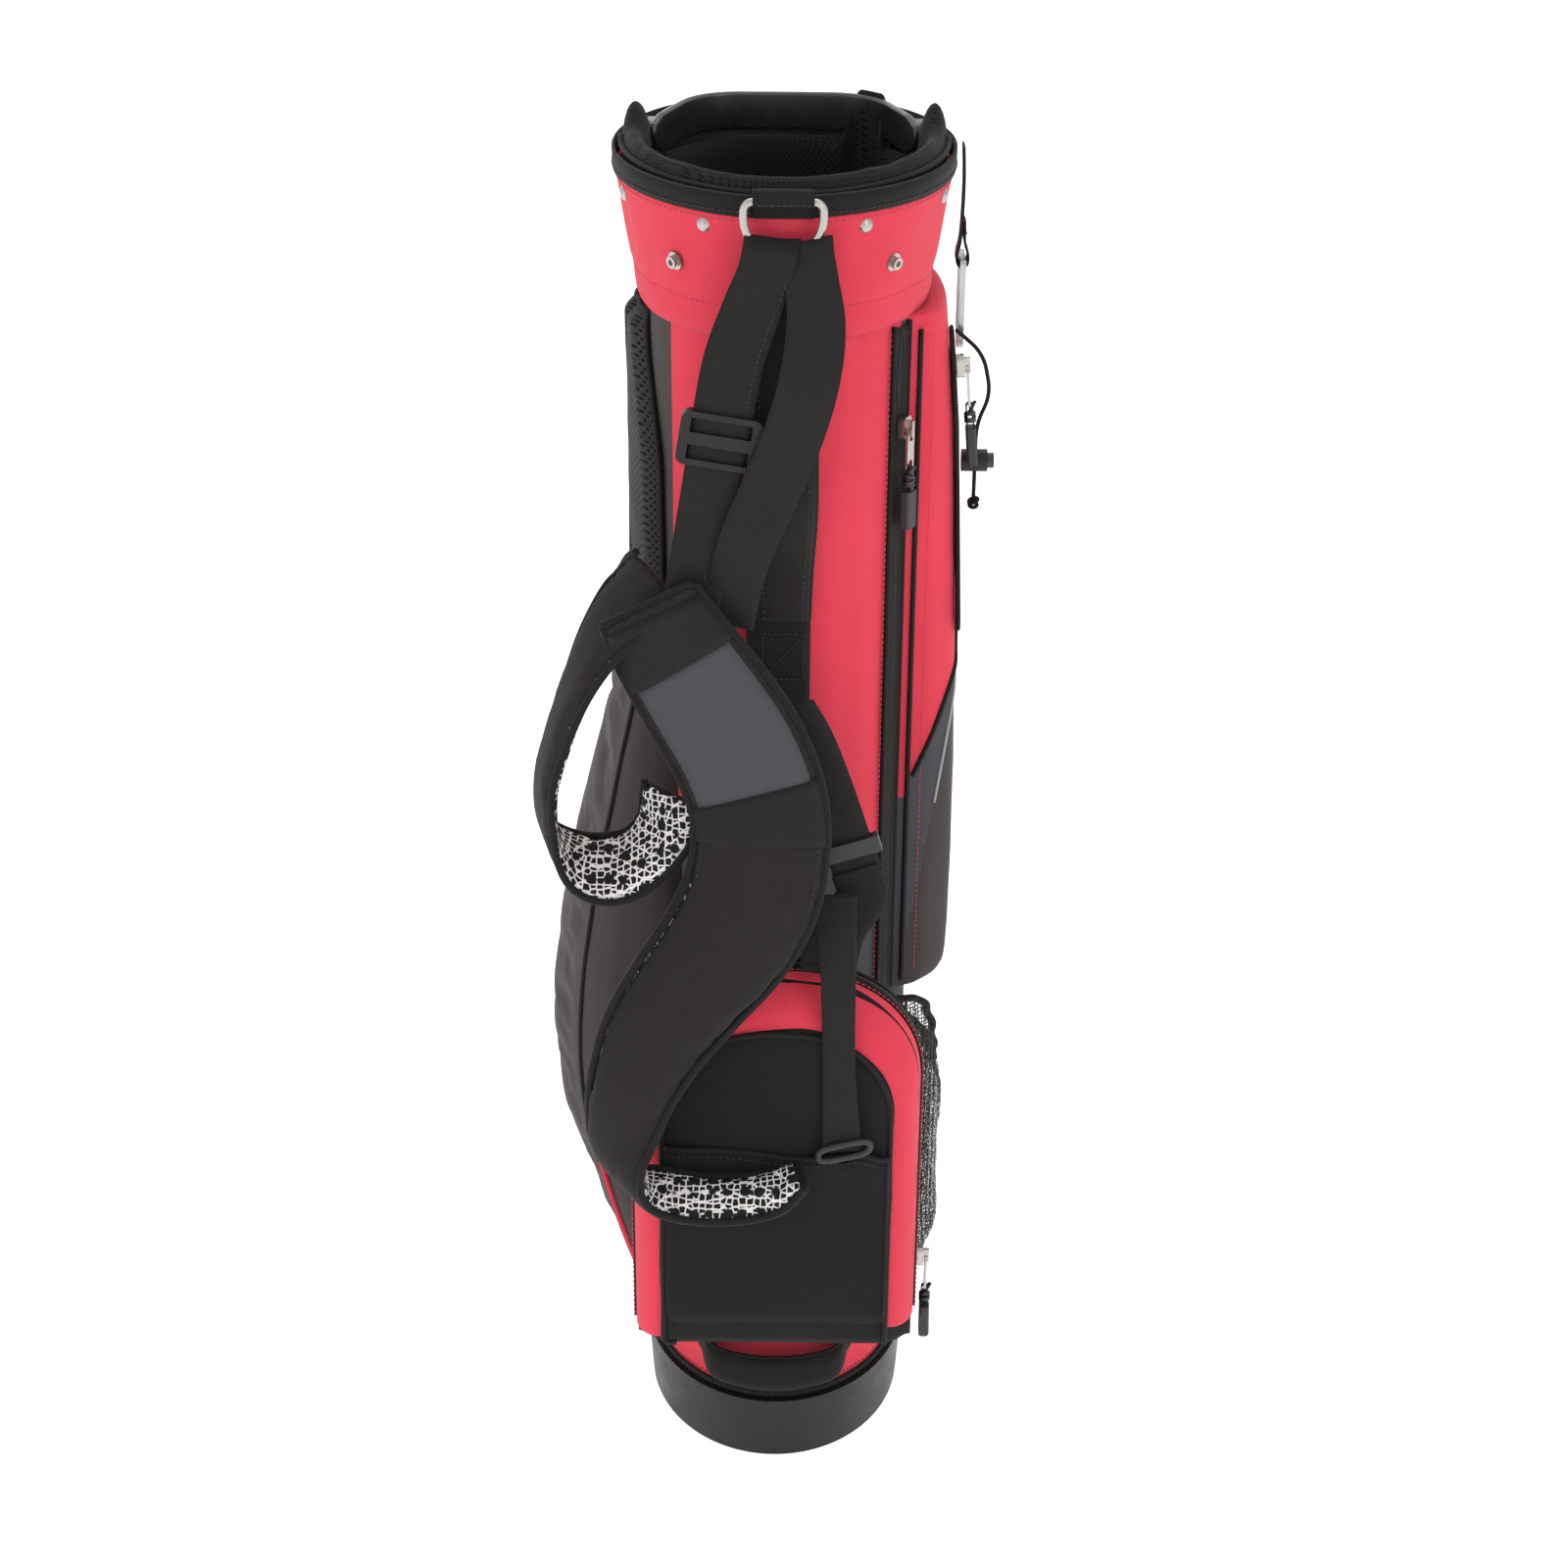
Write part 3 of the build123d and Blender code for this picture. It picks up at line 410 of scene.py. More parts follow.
def fabric(name, color, look):
    # woven cloth: crossed threads, slow shade changes and fine fibres
    n = Nodes(name)
    place = n.add("ShaderNodeTexCoord").outputs["Object"]
    split = n.add("ShaderNodeSeparateXYZ", {0: place})
    pitch = 6.2832 / (look["thread"] * mm)
    flat = n.math("ADD", split.outputs[0], split.outputs[1])
    warp = n.math("SINE", n.math("MULTIPLY", flat, pitch))
    weft = n.math("SINE", n.math("MULTIPLY", split.outputs[2], pitch))
    weave = n.math("MULTIPLY", warp, weft)
    slow = n.add("ShaderNodeTexNoise", {"Vector": place, "Scale": 9.0, "Detail": 3.0})
    fine = n.add("ShaderNodeTexNoise", {"Vector": place, "Scale": 900.0, "Detail": 2.0})
    shade = n.math("ADD", n.math("MULTIPLY", slow.outputs[0], 0.65),
                   n.math("MULTIPLY", fine.outputs[0], 0.35))
    spread = n.math("MULTIPLY_ADD", weave, 0.06)
    n.tree.links.new(shade, spread.node.inputs[2])
    deep, light = tone(color, look.get("deep", 0.78)), tone(color, look.get("light", 1.15))
    n.set(Base_Color=n.mixColor(spread, deep, light))
    n.set(Roughness=look.get("rough", 0.85), Sheen_Weight=look.get("sheen", 0.045), Sheen_Roughness=0.5)
    n.set(Specular_IOR_Level=look.get("specular", 0.10))
    height = n.math("ADD", n.math("MULTIPLY", weave, 0.5), n.math("MULTIPLY", fine.outputs[0], 0.8))
    n.bumpIn(height, look.get("bump", 0.35), 0.0003)
    return n.mat


def spacerMesh(name, holeColor, threadColor, cell):
    # knitted mesh with a regular pattern of small openings
    n = Nodes(name)
    place = n.add("ShaderNodeTexCoord").outputs["Object"]
    split = n.add("ShaderNodeSeparateXYZ", {0: place})
    flat = n.math("ADD", split.outputs[0], n.math("MULTIPLY", split.outputs[1], 0.9))
    wave = 6.2832 / (cell * mm)
    one = n.math("SINE", n.math("MULTIPLY", n.math("ADD", flat, n.math("MULTIPLY", split.outputs[2], 0.6)),
                                wave))
    two = n.math("SINE", n.math("MULTIPLY", n.math("SUBTRACT", flat,
                                                   n.math("MULTIPLY", split.outputs[2], 0.6)), wave))
    holes = n.math("MULTIPLY", n.math("ADD", one, 1.0), n.math("ADD", two, 1.0))
    mask = n.add("ShaderNodeMapRange", {"Value": holes, "From Min": 1.1, "From Max": 2.2}).outputs[0]
    slow = n.add("ShaderNodeTexNoise", {"Vector": place, "Scale": 14.0, "Detail": 2.0})
    mixed = n.mixColor(mask, tone(threadColor, 1.0), tone(holeColor, 1.0))
    n.set(Base_Color=n.mixColor(n.math("MULTIPLY", slow.outputs[0], 0.35), mixed, tone(holeColor, 1.3)))
    n.set(Roughness=0.8, Sheen_Weight=0.05, Specular_IOR_Level=0.12)
    n.bumpIn(n.math("SUBTRACT", 1.0, mask), 0.7, 0.0008)
    return n.mat


def openNet(name, threadColor, groundColor, cell, seeThrough):
    # large hexagonal net, over a dark ground or with open holes
    n = Nodes(name)
    place = n.add("ShaderNodeTexCoord").outputs["Object"]
    cells = n.add("ShaderNodeTexVoronoi", {"Vector": place, "Scale": 1 / (cell * mm), "Randomness": 0.35},
                  feature="DISTANCE_TO_EDGE")
    thread = n.add("ShaderNodeMapRange", {"Value": cells.outputs["Distance"], "From Min": 0.085,
                                          "From Max": 0.13,
                                          "To Min": 1.0, "To Max": 0.0}).outputs[0]
    if not seeThrough:
        holes = n.add("ShaderNodeTexVoronoi", {"Vector": place, "Scale": 1 / (cell * 2.5 * mm),
                                               "Randomness": 0.2},
                      feature="F1")
        keep = n.add("ShaderNodeMapRange", {"Value": holes.outputs["Distance"], "From Min": 0.30,
                                            "From Max": 0.36,
                                            "To Min": 0.0, "To Max": 1.0}).outputs[0]
        thread = n.math("MULTIPLY", thread, keep)
    n.set(Base_Color=n.mixColor(thread, tone(groundColor, 1.0), tone(threadColor, 1.0)))
    n.set(Roughness=0.75, Specular_IOR_Level=0.2)
    if seeThrough:
        n.set(Alpha=thread)
    n.bumpIn(thread, 0.8, 0.0008)
    return n.mat


def webbing(name, color, look):
    # ribbed tape: fine diagonal ribs that follow the strap, and fine cords running along it
    n = Nodes(name)
    along = n.add("ShaderNodeAttribute", attribute_name="along").outputs["Fac"]
    across = n.add("ShaderNodeAttribute", attribute_name="across").outputs["Fac"]
    turn = 6.2832 / (look["rib"] * mm)
    rib = n.math("SINE", n.math("MULTIPLY", n.math("ADD", along, n.math("MULTIPLY", across, 0.8)), turn))
    cord = n.math("SINE", n.math("MULTIPLY", across, 6.2832 / (1.3 * mm)))
    place = n.add("ShaderNodeTexCoord").outputs["Object"]
    fine = n.add("ShaderNodeTexNoise", {"Vector": place, "Scale": 700.0, "Detail": 2.0})
    slow = n.add("ShaderNodeTexNoise", {"Vector": place, "Scale": 25.0})
    ribs = n.math("MULTIPLY", n.math("ADD", rib, cord), 0.25)
    shade = n.math("ADD", n.math("MULTIPLY_ADD", ribs, 0.5), n.math("MULTIPLY", slow.outputs[0], 0.5))
    n.set(Base_Color=n.mixColor(shade, tone(color, 0.65), tone(color, 1.5)))
    n.set(Roughness=0.72, Sheen_Weight=0.03, Specular_IOR_Level=0.18)
    n.bumpIn(n.math("ADD", ribs, n.math("MULTIPLY", fine.outputs[0], 0.3)), 0.6, 0.0004)
    return n.mat


def plastic(name, color, look):
    # moulded plastic: fine grain, faint scuffs and a soft gloss
    n = Nodes(name)
    place = n.add("ShaderNodeTexCoord").outputs["Object"]
    grain = n.add("ShaderNodeTexNoise", {"Vector": place, "Scale": look.get("grain", 1200.0), "Detail": 2.0})
    scuff = n.add("ShaderNodeTexNoise", {"Vector": place, "Scale": 40.0, "Detail": 5.0, "Roughness": 0.7})
    rough = n.add("ShaderNodeMapRange", {"Value": scuff.outputs[0], "From Min": 0.3, "From Max": 0.7,
                                         "To Min": look["rough"] - 0.06,
                                         "To Max": look["rough"] + 0.1}).outputs[0]
    n.set(Base_Color=n.mixColor(scuff.outputs[0], tone(color, 0.8), tone(color, 1.2)), Roughness=rough)
    n.set(Specular_IOR_Level=look.get("specular", 0.3))
    n.bumpIn(grain.outputs[0], look.get("bump", 0.15), 0.0002)
    return n.mat


def metal(name, color, rough):
    # plated metal with fine brushing and small dull patches
    n = Nodes(name)
    place = n.add("ShaderNodeTexCoord").outputs["Object"]
    brush = n.add("ShaderNodeTexNoise", {"Vector": place, "Scale": 1500.0, "Detail": 1.0})
    dull = n.add("ShaderNodeTexNoise", {"Vector": place, "Scale": 160.0, "Detail": 3.0})
    level = n.add("ShaderNodeMapRange", {"Value": dull.outputs[0], "From Min": 0.35, "From Max": 0.75,
                                         "To Min": rough, "To Max": rough + 0.2}).outputs[0]
    n.set(Base_Color=n.mixColor(dull.outputs[0], tone(color, 0.9), tone(color, 1.08)), Roughness=level,
          Metallic=1.0)
    n.bumpIn(brush.outputs[0], 0.08, 0.0002)
    return n.mat


coral = (0.60, 0.042, 0.068)
coralCloth = fabric("coralCloth", coral, {"thread": 0.9, "rough": 0.8, "sheen": 0.075, "deep": 0.86,
                                          "light": 1.12})
blackCloth = fabric("blackCloth", (0.0115, 0.0104, 0.0100), {"thread": 0.8, "sheen": 0.036, "bump": 0.3})
taupeCloth = fabric("taupeCloth", (0.052, 0.044, 0.042), {"thread": 0.8, "sheen": 0.09, "bump": 0.25})
slateCloth = fabric("slateCloth", (0.062, 0.062, 0.070), {"thread": 0.9, "sheen": 0.045, "bump": 0.3})
padCloth = fabric("padCloth", (0.019, 0.017, 0.016), {"thread": 0.7, "sheen": 0.06, "bump": 0.2})
collarMesh = spacerMesh("collarMesh", (0.002, 0.002, 0.002), (0.014, 0.013, 0.0125), 2.6)
hipMesh = spacerMesh("hipMesh", (0.004, 0.004, 0.004), (0.040, 0.037, 0.036), 2.8)
whiteNet = openNet("whiteNet", (0.72, 0.70, 0.68), (0.008, 0.007, 0.007), 3.9, False)
pouchNet = openNet("pouchNet", (0.035, 0.032, 0.030), (0.02, 0.02, 0.02), 2.6, True)
strapTape = webbing("strapTape", (0.0090, 0.0080, 0.0076), {"rib": 2.0})
edgeTape = webbing("edgeTape", (0.0060, 0.0055, 0.0052), {"rib": 1.6})
satinPlastic = plastic("satinPlastic", (0.0085, 0.0078, 0.0074), {"rough": 0.42})
greyPlastic = plastic("greyPlastic", (0.030, 0.030, 0.034), {"rough": 0.5})
bandPlastic = plastic("bandPlastic", (0.012, 0.011, 0.0105), {"rough": 0.3, "specular": 0.75})
zipPlastic = plastic("zipPlastic", (0.006, 0.006, 0.006), {"rough": 0.38, "specular": 0.6})
nickel = metal("nickel", (0.40, 0.385, 0.36), 0.24)
legAlloy = metal("legAlloy", (0.34, 0.35, 0.37), 0.34)
springSteel = metal("springSteel", (0.42, 0.42, 0.43), 0.28)
footRubber = plastic("footRubber", (0.014, 0.014, 0.014), {"rough": 0.75, "grain": 500.0, "bump": 0.4})
blackThread = plastic("blackThread", (0.03, 0.028, 0.027), {"rough": 0.6})
coralThread = plastic("coralThread", (0.50, 0.05, 0.07), {"rough": 0.6})
paleThread = plastic("paleThread", (0.30, 0.30, 0.32), {"rough": 0.6})
print("materials ready")


def piping(name, path, radius, **more):
    # narrow covered cord sewn along an edge
    return pipe(name, path, radius, edgeTape, "black_webbing", **more)


# body tube
tube = {"halfWidth": 81.0, "halfDepth": 99.0, "low": 39.0, "high": 772.0, "rings": 124, "around": 168,
        "wall": 2.0, "front": (-140.0, -37.0), "hemWrap": (-165.0, -15.0), "slateTop": 438.0, "hemTop": 128.0}


def onTube(angle, z, grow=0.0):
    x, y = oval(tube["halfWidth"] + grow, tube["halfDepth"] + grow, angle)
    return Vector((x, y, z))


def tubeOut(angle):
    return Vector((math.cos(angle) / tube["halfWidth"], math.sin(angle) / tube["halfDepth"], 0)).normalized()


def tubeFold(x, y, z):
    return wobble(x, y, z * 0.12, 15.0, 1.1) + wobble(x + 50, y, z * 0.5, 45.0, 0.7) - 0.7


def tubeHeight(ring):
    return tube["low"] + (tube["high"] - tube["low"]) * ring / (tube["rings"] - 1)


def buildTube():
    verts = []
    for inside in (False, True):
        for r in range(tube["rings"]):
            z = tubeHeight(r)
            calm = smoothStep(tube["low"], tube["low"] + 25, z)
            for c in range(tube["around"]):
                angle = 2 * math.pi * c / tube["around"] - math.pi
                p = onTube(angle, z, -tube["wall"] if inside else 0.0)
                verts.append(tuple(p if inside else p + tubeOut(angle) * (tubeFold(*p) * calm)))
    faces = shellFaces(tube["rings"], tube["around"])
    faceMats = [3] * len(faces)
    step = 360 / tube["around"]
    for r in range(tube["rings"] - 1):
        z = tubeHeight(r + 0.5)
        for c in range(tube["around"]):
            d = (c + 0.5) * step - 180
            kind = 1
            if tube["front"][0] < d < tube["front"][1]:
                kind = 2 if tube["hemTop"] < z <= tube["slateTop"] else 0
            elif z < tube["hemTop"] and tube["hemWrap"][0] < d < tube["hemWrap"][1]:
                kind = 0
            faceMats[2 * (r * tube["around"] + c)] = kind
    shell = newPiece("bagTube", verts, faces, [coralCloth, taupeCloth, slateCloth, blackCloth], "bag",
                     "coral_fabric", faceMats)
    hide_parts("bag_shell")


buildTube()
hem = {"low": 46.4, "high": 51.0, "thick": 1.6}


def ovalBand(name, sizes, low, high, thick, mat, slotName, around=160, wave=0.0):
    # flat tape sewn round an oval: sizes are the half sizes it lies on at its low and high edge
    verts = []
    section = [(0.15, 0.0), (1.0, 0.06), (1.0, 0.5), (1.0, 0.94), (0.15, 1.0), (0.0, 0.5)]
    for c in range(around):
        angle = 2 * math.pi * c / around
        for out, up in section:
            z = low + (high - low) * up + wave * math.sin(angle * 5 + 1)
            w = sizes[0][0] + (sizes[1][0] - sizes[0][0]) * up + out * thick
            d = sizes[0][1] + (sizes[1][1] - sizes[0][1]) * up + out * thick
            x, y = oval(w, d, angle)
            verts.append((x, y, z))
    obj = newPiece(name, verts, gridFaces(around, len(section), closeRows=True), mat, "bag", slotName)
    threadMarks(obj, [(c * 3.6, up * (high - low)) for c in range(around) for out, up in section])
    return obj


ovalBand("hemTape", ((81.4, 99.4), (81.4, 99.4)), hem["low"], hem["high"], hem["thick"], edgeTape,
         "black_webbing")
for label, z in (("Low", 49.0), ("High", 55.5)):
    spots = [(onTube(a * math.pi / 120, z, 2.1), tubeOut(a * math.pi / 120)) for a in range(241)]
    stitchRow("hemStitch" + label, spots, blackThread, "black_webbing")
print("body tube ready")

# cuff, binding and padded rim
cuff = {"low": 757.0, "high": 830.0, "halfWidth": 83.0, "halfDepth": 101.0, "flareWidth": 11.0,
        "flareDepth": 13.0,
        "base": 760.0, "rise": 69.0}


def onCuff(angle, z, grow=0.0):
    share = (z - cuff["base"]) / cuff["rise"]
    x, y = oval(cuff["halfWidth"] + cuff["flareWidth"] * share + grow,
                cuff["halfDepth"] + cuff["flareDepth"] * share + grow, angle)
    return Vector((x, y, z))


def cuffFold(p, z):
    pinch = bump(z, 776.0, 5.0) * 0.9
    return wobble(p.x, p.y, z * 0.35, 22.0, 1.5) * smoothStep(760, 775, z) * smoothStep(832, 815, z) - pinch


def buildCuff():
    around, rings = 200, 26
    verts = []
    for side in (0, 1):
        for r in range(rings):
            z = cuff["low"] + (cuff["high"] - cuff["low"]) * r / (rings - 1)
            for c in range(around):
                angle = 2 * math.pi * c / around
                p = onCuff(angle, z, -1.5 if side else 0.0)
                roll = 0.0 if side else -1.2 * bump(z, cuff["low"], 3.0)
                verts.append(tuple(p + tubeOut(angle) * ((0 if side else cuffFold(p, z)) + roll)))
    shell = newPiece("cuffBand", verts, shellFaces(rings, around), coralCloth, "bag", "coral_fabric")
    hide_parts("cuff_cover")


buildCuff()
for label, z in (("Seam", 776.0), ("Top", 826.0)):
    spots = []
    for i in range(361):
        angle = math.radians(i)
        p = onCuff(angle, z)
        spots.append((p + tubeOut(angle) * (cuffFold(p, z) + 0.1), tubeOut(angle)))
    stitchRow("cuff" + label + "Stitch", spots, coralThread, "coral_fabric", pitch=4.0, length=2.6,
              radius=0.4)
rimTape = ovalBand("rimTape", ((93.4, 113.4), (93.8, 113.8)), 828.4, 841.0, 1.9, edgeTape, "black_webbing",
                   wave=0.25)
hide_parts("cuff_binding")
spots = [(Vector((*oval(95.6, 115.6, math.radians(i)), 831.5)), tubeOut(math.radians(i))) for i in range(361)]
stitchRow("rimTapeStitch", spots, blackThread, "black_webbing", pitch=3.4)

rim = {"mouth": (76.5, 94.5), "near": 848.5, "back": 819.0, "floor": 777.0, "inset": 5.2, "overTape": 829.5,
       "outer": (90.6, 110.4), "puff": 1.2}


def rimTop(angle):
    # height of the padded rim round the mouth: near roll, two ears, low back, one raised grip
    d = math.degrees(angle) % 360
    if d > 180:
        top = rim["near"] - 1.5 * bump(d, 270, 40)
    elif 20 < d < 160:
        top = rim["back"]
    else:
        edge = d if d < 90 else 180 - d
        top = rim["back"] + (rim["near"] - rim["back"]) * smoothStep(19.0, 11.5, edge)
    top += 10.5 * bump(d, 173, 7.5) + 11.0 * bump(d - 360 if d > 180 else d, 6, 7.0)
    top += 29.0 * smoothStep(44, 49, d) * smoothStep(66, 60, d)
    return top


def buildRim():
    around = 260
    verts = []
    section = [(0.0, 0.0), (0.0, 0.3), (0.02, 0.6), (0.0, 0.82), (0.12, 0.93), (0.36, 0.99), (0.6, 1.0),
               (0.84, 0.95),
               (0.98, 0.85), (1.0, 0.7), (1.0, 0.35), (1.0, 0.0)]
    for c in range(around):
        angle = 2 * math.pi * c / around
        top = rimTop(angle)
        bar = smoothStep(20, 24, math.degrees(angle) % 360) * smoothStep(160, 156, math.degrees(angle) % 360)
        grip = smoothStep(44, 49, math.degrees(angle)) * smoothStep(66, 60, math.degrees(angle))
        for out, up in section:
            z = rim["floor"] + (top - rim["floor"]) * up
            share = min(1.0, (z - cuff["base"]) / cuff["rise"])
            outX = cuff["halfWidth"] + cuff["flareWidth"] * share - rim["inset"]
            outY = cuff["halfDepth"] + cuff["flareDepth"] * share - rim["inset"]
            if z > rim["overTape"]:
                outX, outY = rim["outer"]
            lowX, lowY = rim["mouth"]
            if grip > 0.3:
                lowX, lowY = lowX + 5.5 * grip, lowY + 8.5 * grip
            puff = rim["puff"] * math.sin(out * math.pi) if up > 0.8 else 0.0
            w = lowX + (outX - lowX) * out
            d = lowY + (outY - lowY) * out
            x, y = oval(w, d, angle)
            lift = wobble(x, y, z, 12.0, 0.9) if up > 0.5 else 0.0
            verts.append((x, y, z + puff + lift * (1 - bar)))
    pad = newPiece("rimPad", verts, gridFaces(around, len(section), closeRows=True), collarMesh, "bag",
                   "black_mesh")
    mod = pad.modifiers.new("soft", "SUBSURF")
    mod.levels = mod.render_levels = 1
    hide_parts("collar_pad")


buildRim()


def rimEdgePath(out, drop, low, high):
    path = []
    for i in range(low, high + 1, 2):
        angle = math.radians(i)
        x, y = oval(90.9 + out, 110.7 + out, angle)
        path.append((x, y, rimTop(angle) - drop))
    return path


piping("rimPiping", rimEdgePath(-0.4, 6.5, 182, 358), 1.5)
print("rim ready")

# lifting band
band = {"low": 824.0, "high": 846.0, "thick": 4.2, "round": 1.9}


def bandPath():
    corner = [(-77, 28), (-72.5, 42), (-66, 60), (-58.5, 78), (-48, 90), (-34, 96.2), (-17, 97.2), (0, 97.4)]
    stops = corner + [(-x, y) for x, y in corner[-2::-1]]
    return [Vector((r[0], r[1], 0)) for r in splineThrough(stops, 6)]


def buildBand():
    path = bandPath()
    verts = []
    low, high, t, r = band["low"], band["high"], band["thick"] / 2, band["round"]
    section = []
    for cx, cz, start in ((t - r, high - r, 0), (-t + r, high - r, 90), (-t + r, low + r, 180),
                          (t - r, low + r, 270)):
        for k in range(5):
            w = math.radians(start + 22.5 * k)
            section.append((cx + r * math.cos(w), cz + r * math.sin(w)))
    for i, p in enumerate(path):
        tangent = runAt(path, i)
        out = Vector((-tangent.y, tangent.x, 0))
        ends = min(p.y - 28.0, 14.0) / 14.0
        for a, z in section:
            swell = 1.0 + 0.25 * (1 - ends)
            dip = 3.0 * (1 - ends) * (1 if z > 835 else -2)
            q = p + out * (a * swell - band["thick"] / 2 - 0.2)
            verts.append((q.x, q.y, z - dip))
    return newPiece("liftBand", verts, capped(len(path), len(section)), bandPlastic, "bag", "black_plastic")


liftBand = buildBand()


def buildPosts():
    # moulded roots of the band, sunk in the rim
    verts, faces = [], []
    for side in (-1, 1):
        base = len(verts)
        rows = [(30.0, 806.0), (30.0, 822.0), (31.0, 836.0), (34.0, 843.0), (46.0, 843.0), (46.5, 830.0),
                (46.5, 806.0)]
        for y, z in rows:
            for out in (0.3, 4.5, 11.5, 13.2):
                w, d = 77.0 + out, 95.0 + out
                x = side * w * math.sqrt(1 - (y / d) ** 2)
                verts.append((x, y, z))
        count = len(rows)
        for r in range(count):
            for c in range(3):
                a, b = base + r * 4 + c, base + ((r + 1) % count) * 4 + c
                faces.append((a, a + 1, b + 1, b))
        faces.append(tuple(base + r * 4 for r in range(count)))
        faces.append(tuple(base + r * 4 + 3 for r in range(count))[::-1])
    obj = newPiece("bandRoots", verts, faces, bandPlastic, "bag", "black_plastic", smooth=False)
    return bevelled(obj, 1.2, 3)


bandRoots = buildPosts()
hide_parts("lift_handle")
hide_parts("lift_handle")
print("lifting band ready")

# ring tab, carry handle and spine
ringBar = {"y": -120.0}
tapeLook = {"thick": 1.7, "crown": 9, "rim": 0.6}


def buildRingTab():
    # webbing folded over the ring's bar and sewn to the rim
    y = ringBar["y"]
    line = [(y + 5.2, 829.0), (y + 4.6, 835.0), (y + 4.1, 840.0), (y + 3.0, 843.4), (y, 845.0),
            (y - 2.9, 843.6),
            (y - 4.0, 840.5), (y - 3.9, 837.5)]
    rows = [(0, p[0], p[1], 1, 0, 0, 32) for p in line]
    return strapBody("ringTab", strapFrames(rows, 5), tapeLook, edgeTape, "black_webbing")


ringTab = buildRingTab()
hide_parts("strap_tab")
spots = [((x, ringBar["y"] - 5.0 + 0.15, 838.3), (0, -1, 0)) for x in range(-14, 15)]
stitchRow("ringTabStitch", spots, blackThread, "black_webbing", pitch=3.2)

carry = {"centre": 1.5, "look": {"thick": 8.0, "crown": 3.0, "samples": 13}}


def buildCarryHandle():
    rows = []
    for y, z, wide in ((-107.6, 600, 30), (-107.4, 618, 31), (-109.5, 638, 33), (-116.0, 656, 35),
                       (-121.5, 676, 36),
                       (-122.3, 700, 35.5), (-121.6, 725, 36), (-119.0, 746, 35), (-117.2, 764, 33),
                       (-117.6, 782, 31),
                       (-118.6, 797, 30)):
        rows.append((carry["centre"], y, z, 1, 0, 0, wide))
    frames = strapFrames(rows, 6)
    grip = strapBody("carryHandle", frames, carry["look"], padCloth, "black_fabric", flip=-1)
    return grip, frames


carryGrip, carryFrames = buildCarryHandle()
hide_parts("carry_handle")
for side, label in ((-1, "Left"), (1, "Right")):
    edge = [p + a * (side * (w / 2 - 0.6)) for p, t, a, n, w in carryFrames]
    piping("carryPiping" + label, edge, 1.5)
    spots = [(p + a * (side * (w / 2 - 4.5)) - n * 3.4, -n) for p, t, a, n, w in carryFrames]
    stitchRow("carryStitch" + label, spots, blackThread, "black_fabric")


def buildSpine():
    rows = [(-1.0, -100.6, z, 1, 0, 0, 36) for z in (*range(398, 758, 24), 757)]
    spine = strapBody("spineTape", strapFrames(rows, 3), dict(tapeLook, thick=1.8), strapTape,
                      "black_webbing",
                      flip=-1)
    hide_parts("spine_webbing")
    for label, low, high in (("Low", 560, 588), ("Foot", 404, 424)):
        box = [(-10, low), (13, low), (13, high), (-10, high), (-10, low), (13, high)]
        spots = []
        for (x0, z0), (x1, z1) in zip(box, box[1:]):
            for s in range(12):
                t = s / 11
                spots.append(((x0 + (x1 - x0) * t, -101.7, z0 + (z1 - z0) * t), (0, -1, 0)))
        stitchRow("spineBox" + label, spots, blackThread, "black_webbing", pitch=3.0)


buildSpine()
print("carry handle and spine ready")


# shoulder webbing
def buildWebbing():
    y = ringBar["y"]
    # left run: round the ring's bow, then down through the buckle
    left = [(-5, y + 3.4, 816.4, 0.95, 0, -0.12, 29), (-5.5, y + 1.6, 818.9, 0.96, 0, -0.12, 29),
            (-6, y - 2.0, 819.4, 0.96, 0, -0.12, 29),
            (-7, y - 8.6, 814, 0.95, 0, -0.14, 29), (-10, y - 10.0, 802, 0.93, 0, -0.22, 29),
            (-17, y - 11.6, 783, 0.93, 0, -0.26, 31), (-27, -134.0, 752, 0.98, 0, -0.16, 32),
            (-36, -134.0, 696, 0.987, 0, -0.159, 32), (-41.6, -134.0, 661, 0.987, 0, -0.159, 32),
            (-45.5, -134.3, 637, 0.985, 0, -0.16, 32), (-48.5, -136.0, 622, 0.98, 0, -0.16, 32)]
    leftFrames = strapFrames(left, 8)
    a = strapBody("webbingLeft", leftFrames, tapeLook, strapTape, "black_webbing")
    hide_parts("webbing_left")
    right = [(12, y + 3.4, 790, 0.9, 0, 0.2, 28), (12, y + 3.8, 803, 0.92, 0, 0.18, 28),
             (12, y + 3.2, 813.4, 0.95, 0, 0.2, 27), (12.5, y - 1.2, 818.6, 0.95, 0, 0.22, 27),
             (13, y - 5.6, 813, 0.93, 0, 0.24, 27), (15, y - 9.4, 800, 0.92, 0.1, 0.25, 28),
             (17.5, y - 14.0, 776, 0.97, 0.1, 0.04, 31), (14.0, -140.2, 748, 0.96, 0, -0.2, 32),
             (5.0, -141.0, 716, 0.94, 0, -0.32, 32), (-7.5, -140.6, 684, 0.92, 0, -0.38, 32),
             (-18.0, -140.4, 658, 0.94, -0.1, -0.34, 31), (-24.5, -136.8, 634, 0.95, -0.1, -0.24, 30),
             (-29.5, -131.5, 606, 0.96, 0, -0.2, 30)]
    c = strapBody("webbingRight", strapFrames(right, 8), tapeLook, strapTape, "black_webbing")
    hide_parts("webbing_right")
    spots = [(p + ax * 12.0 + n, n) for p, t, ax, n, w in leftFrames[32:52]]
    stitchRow("webbingLeftStitch", spots, blackThread, "black_webbing", pitch=3.2)


buildWebbing()


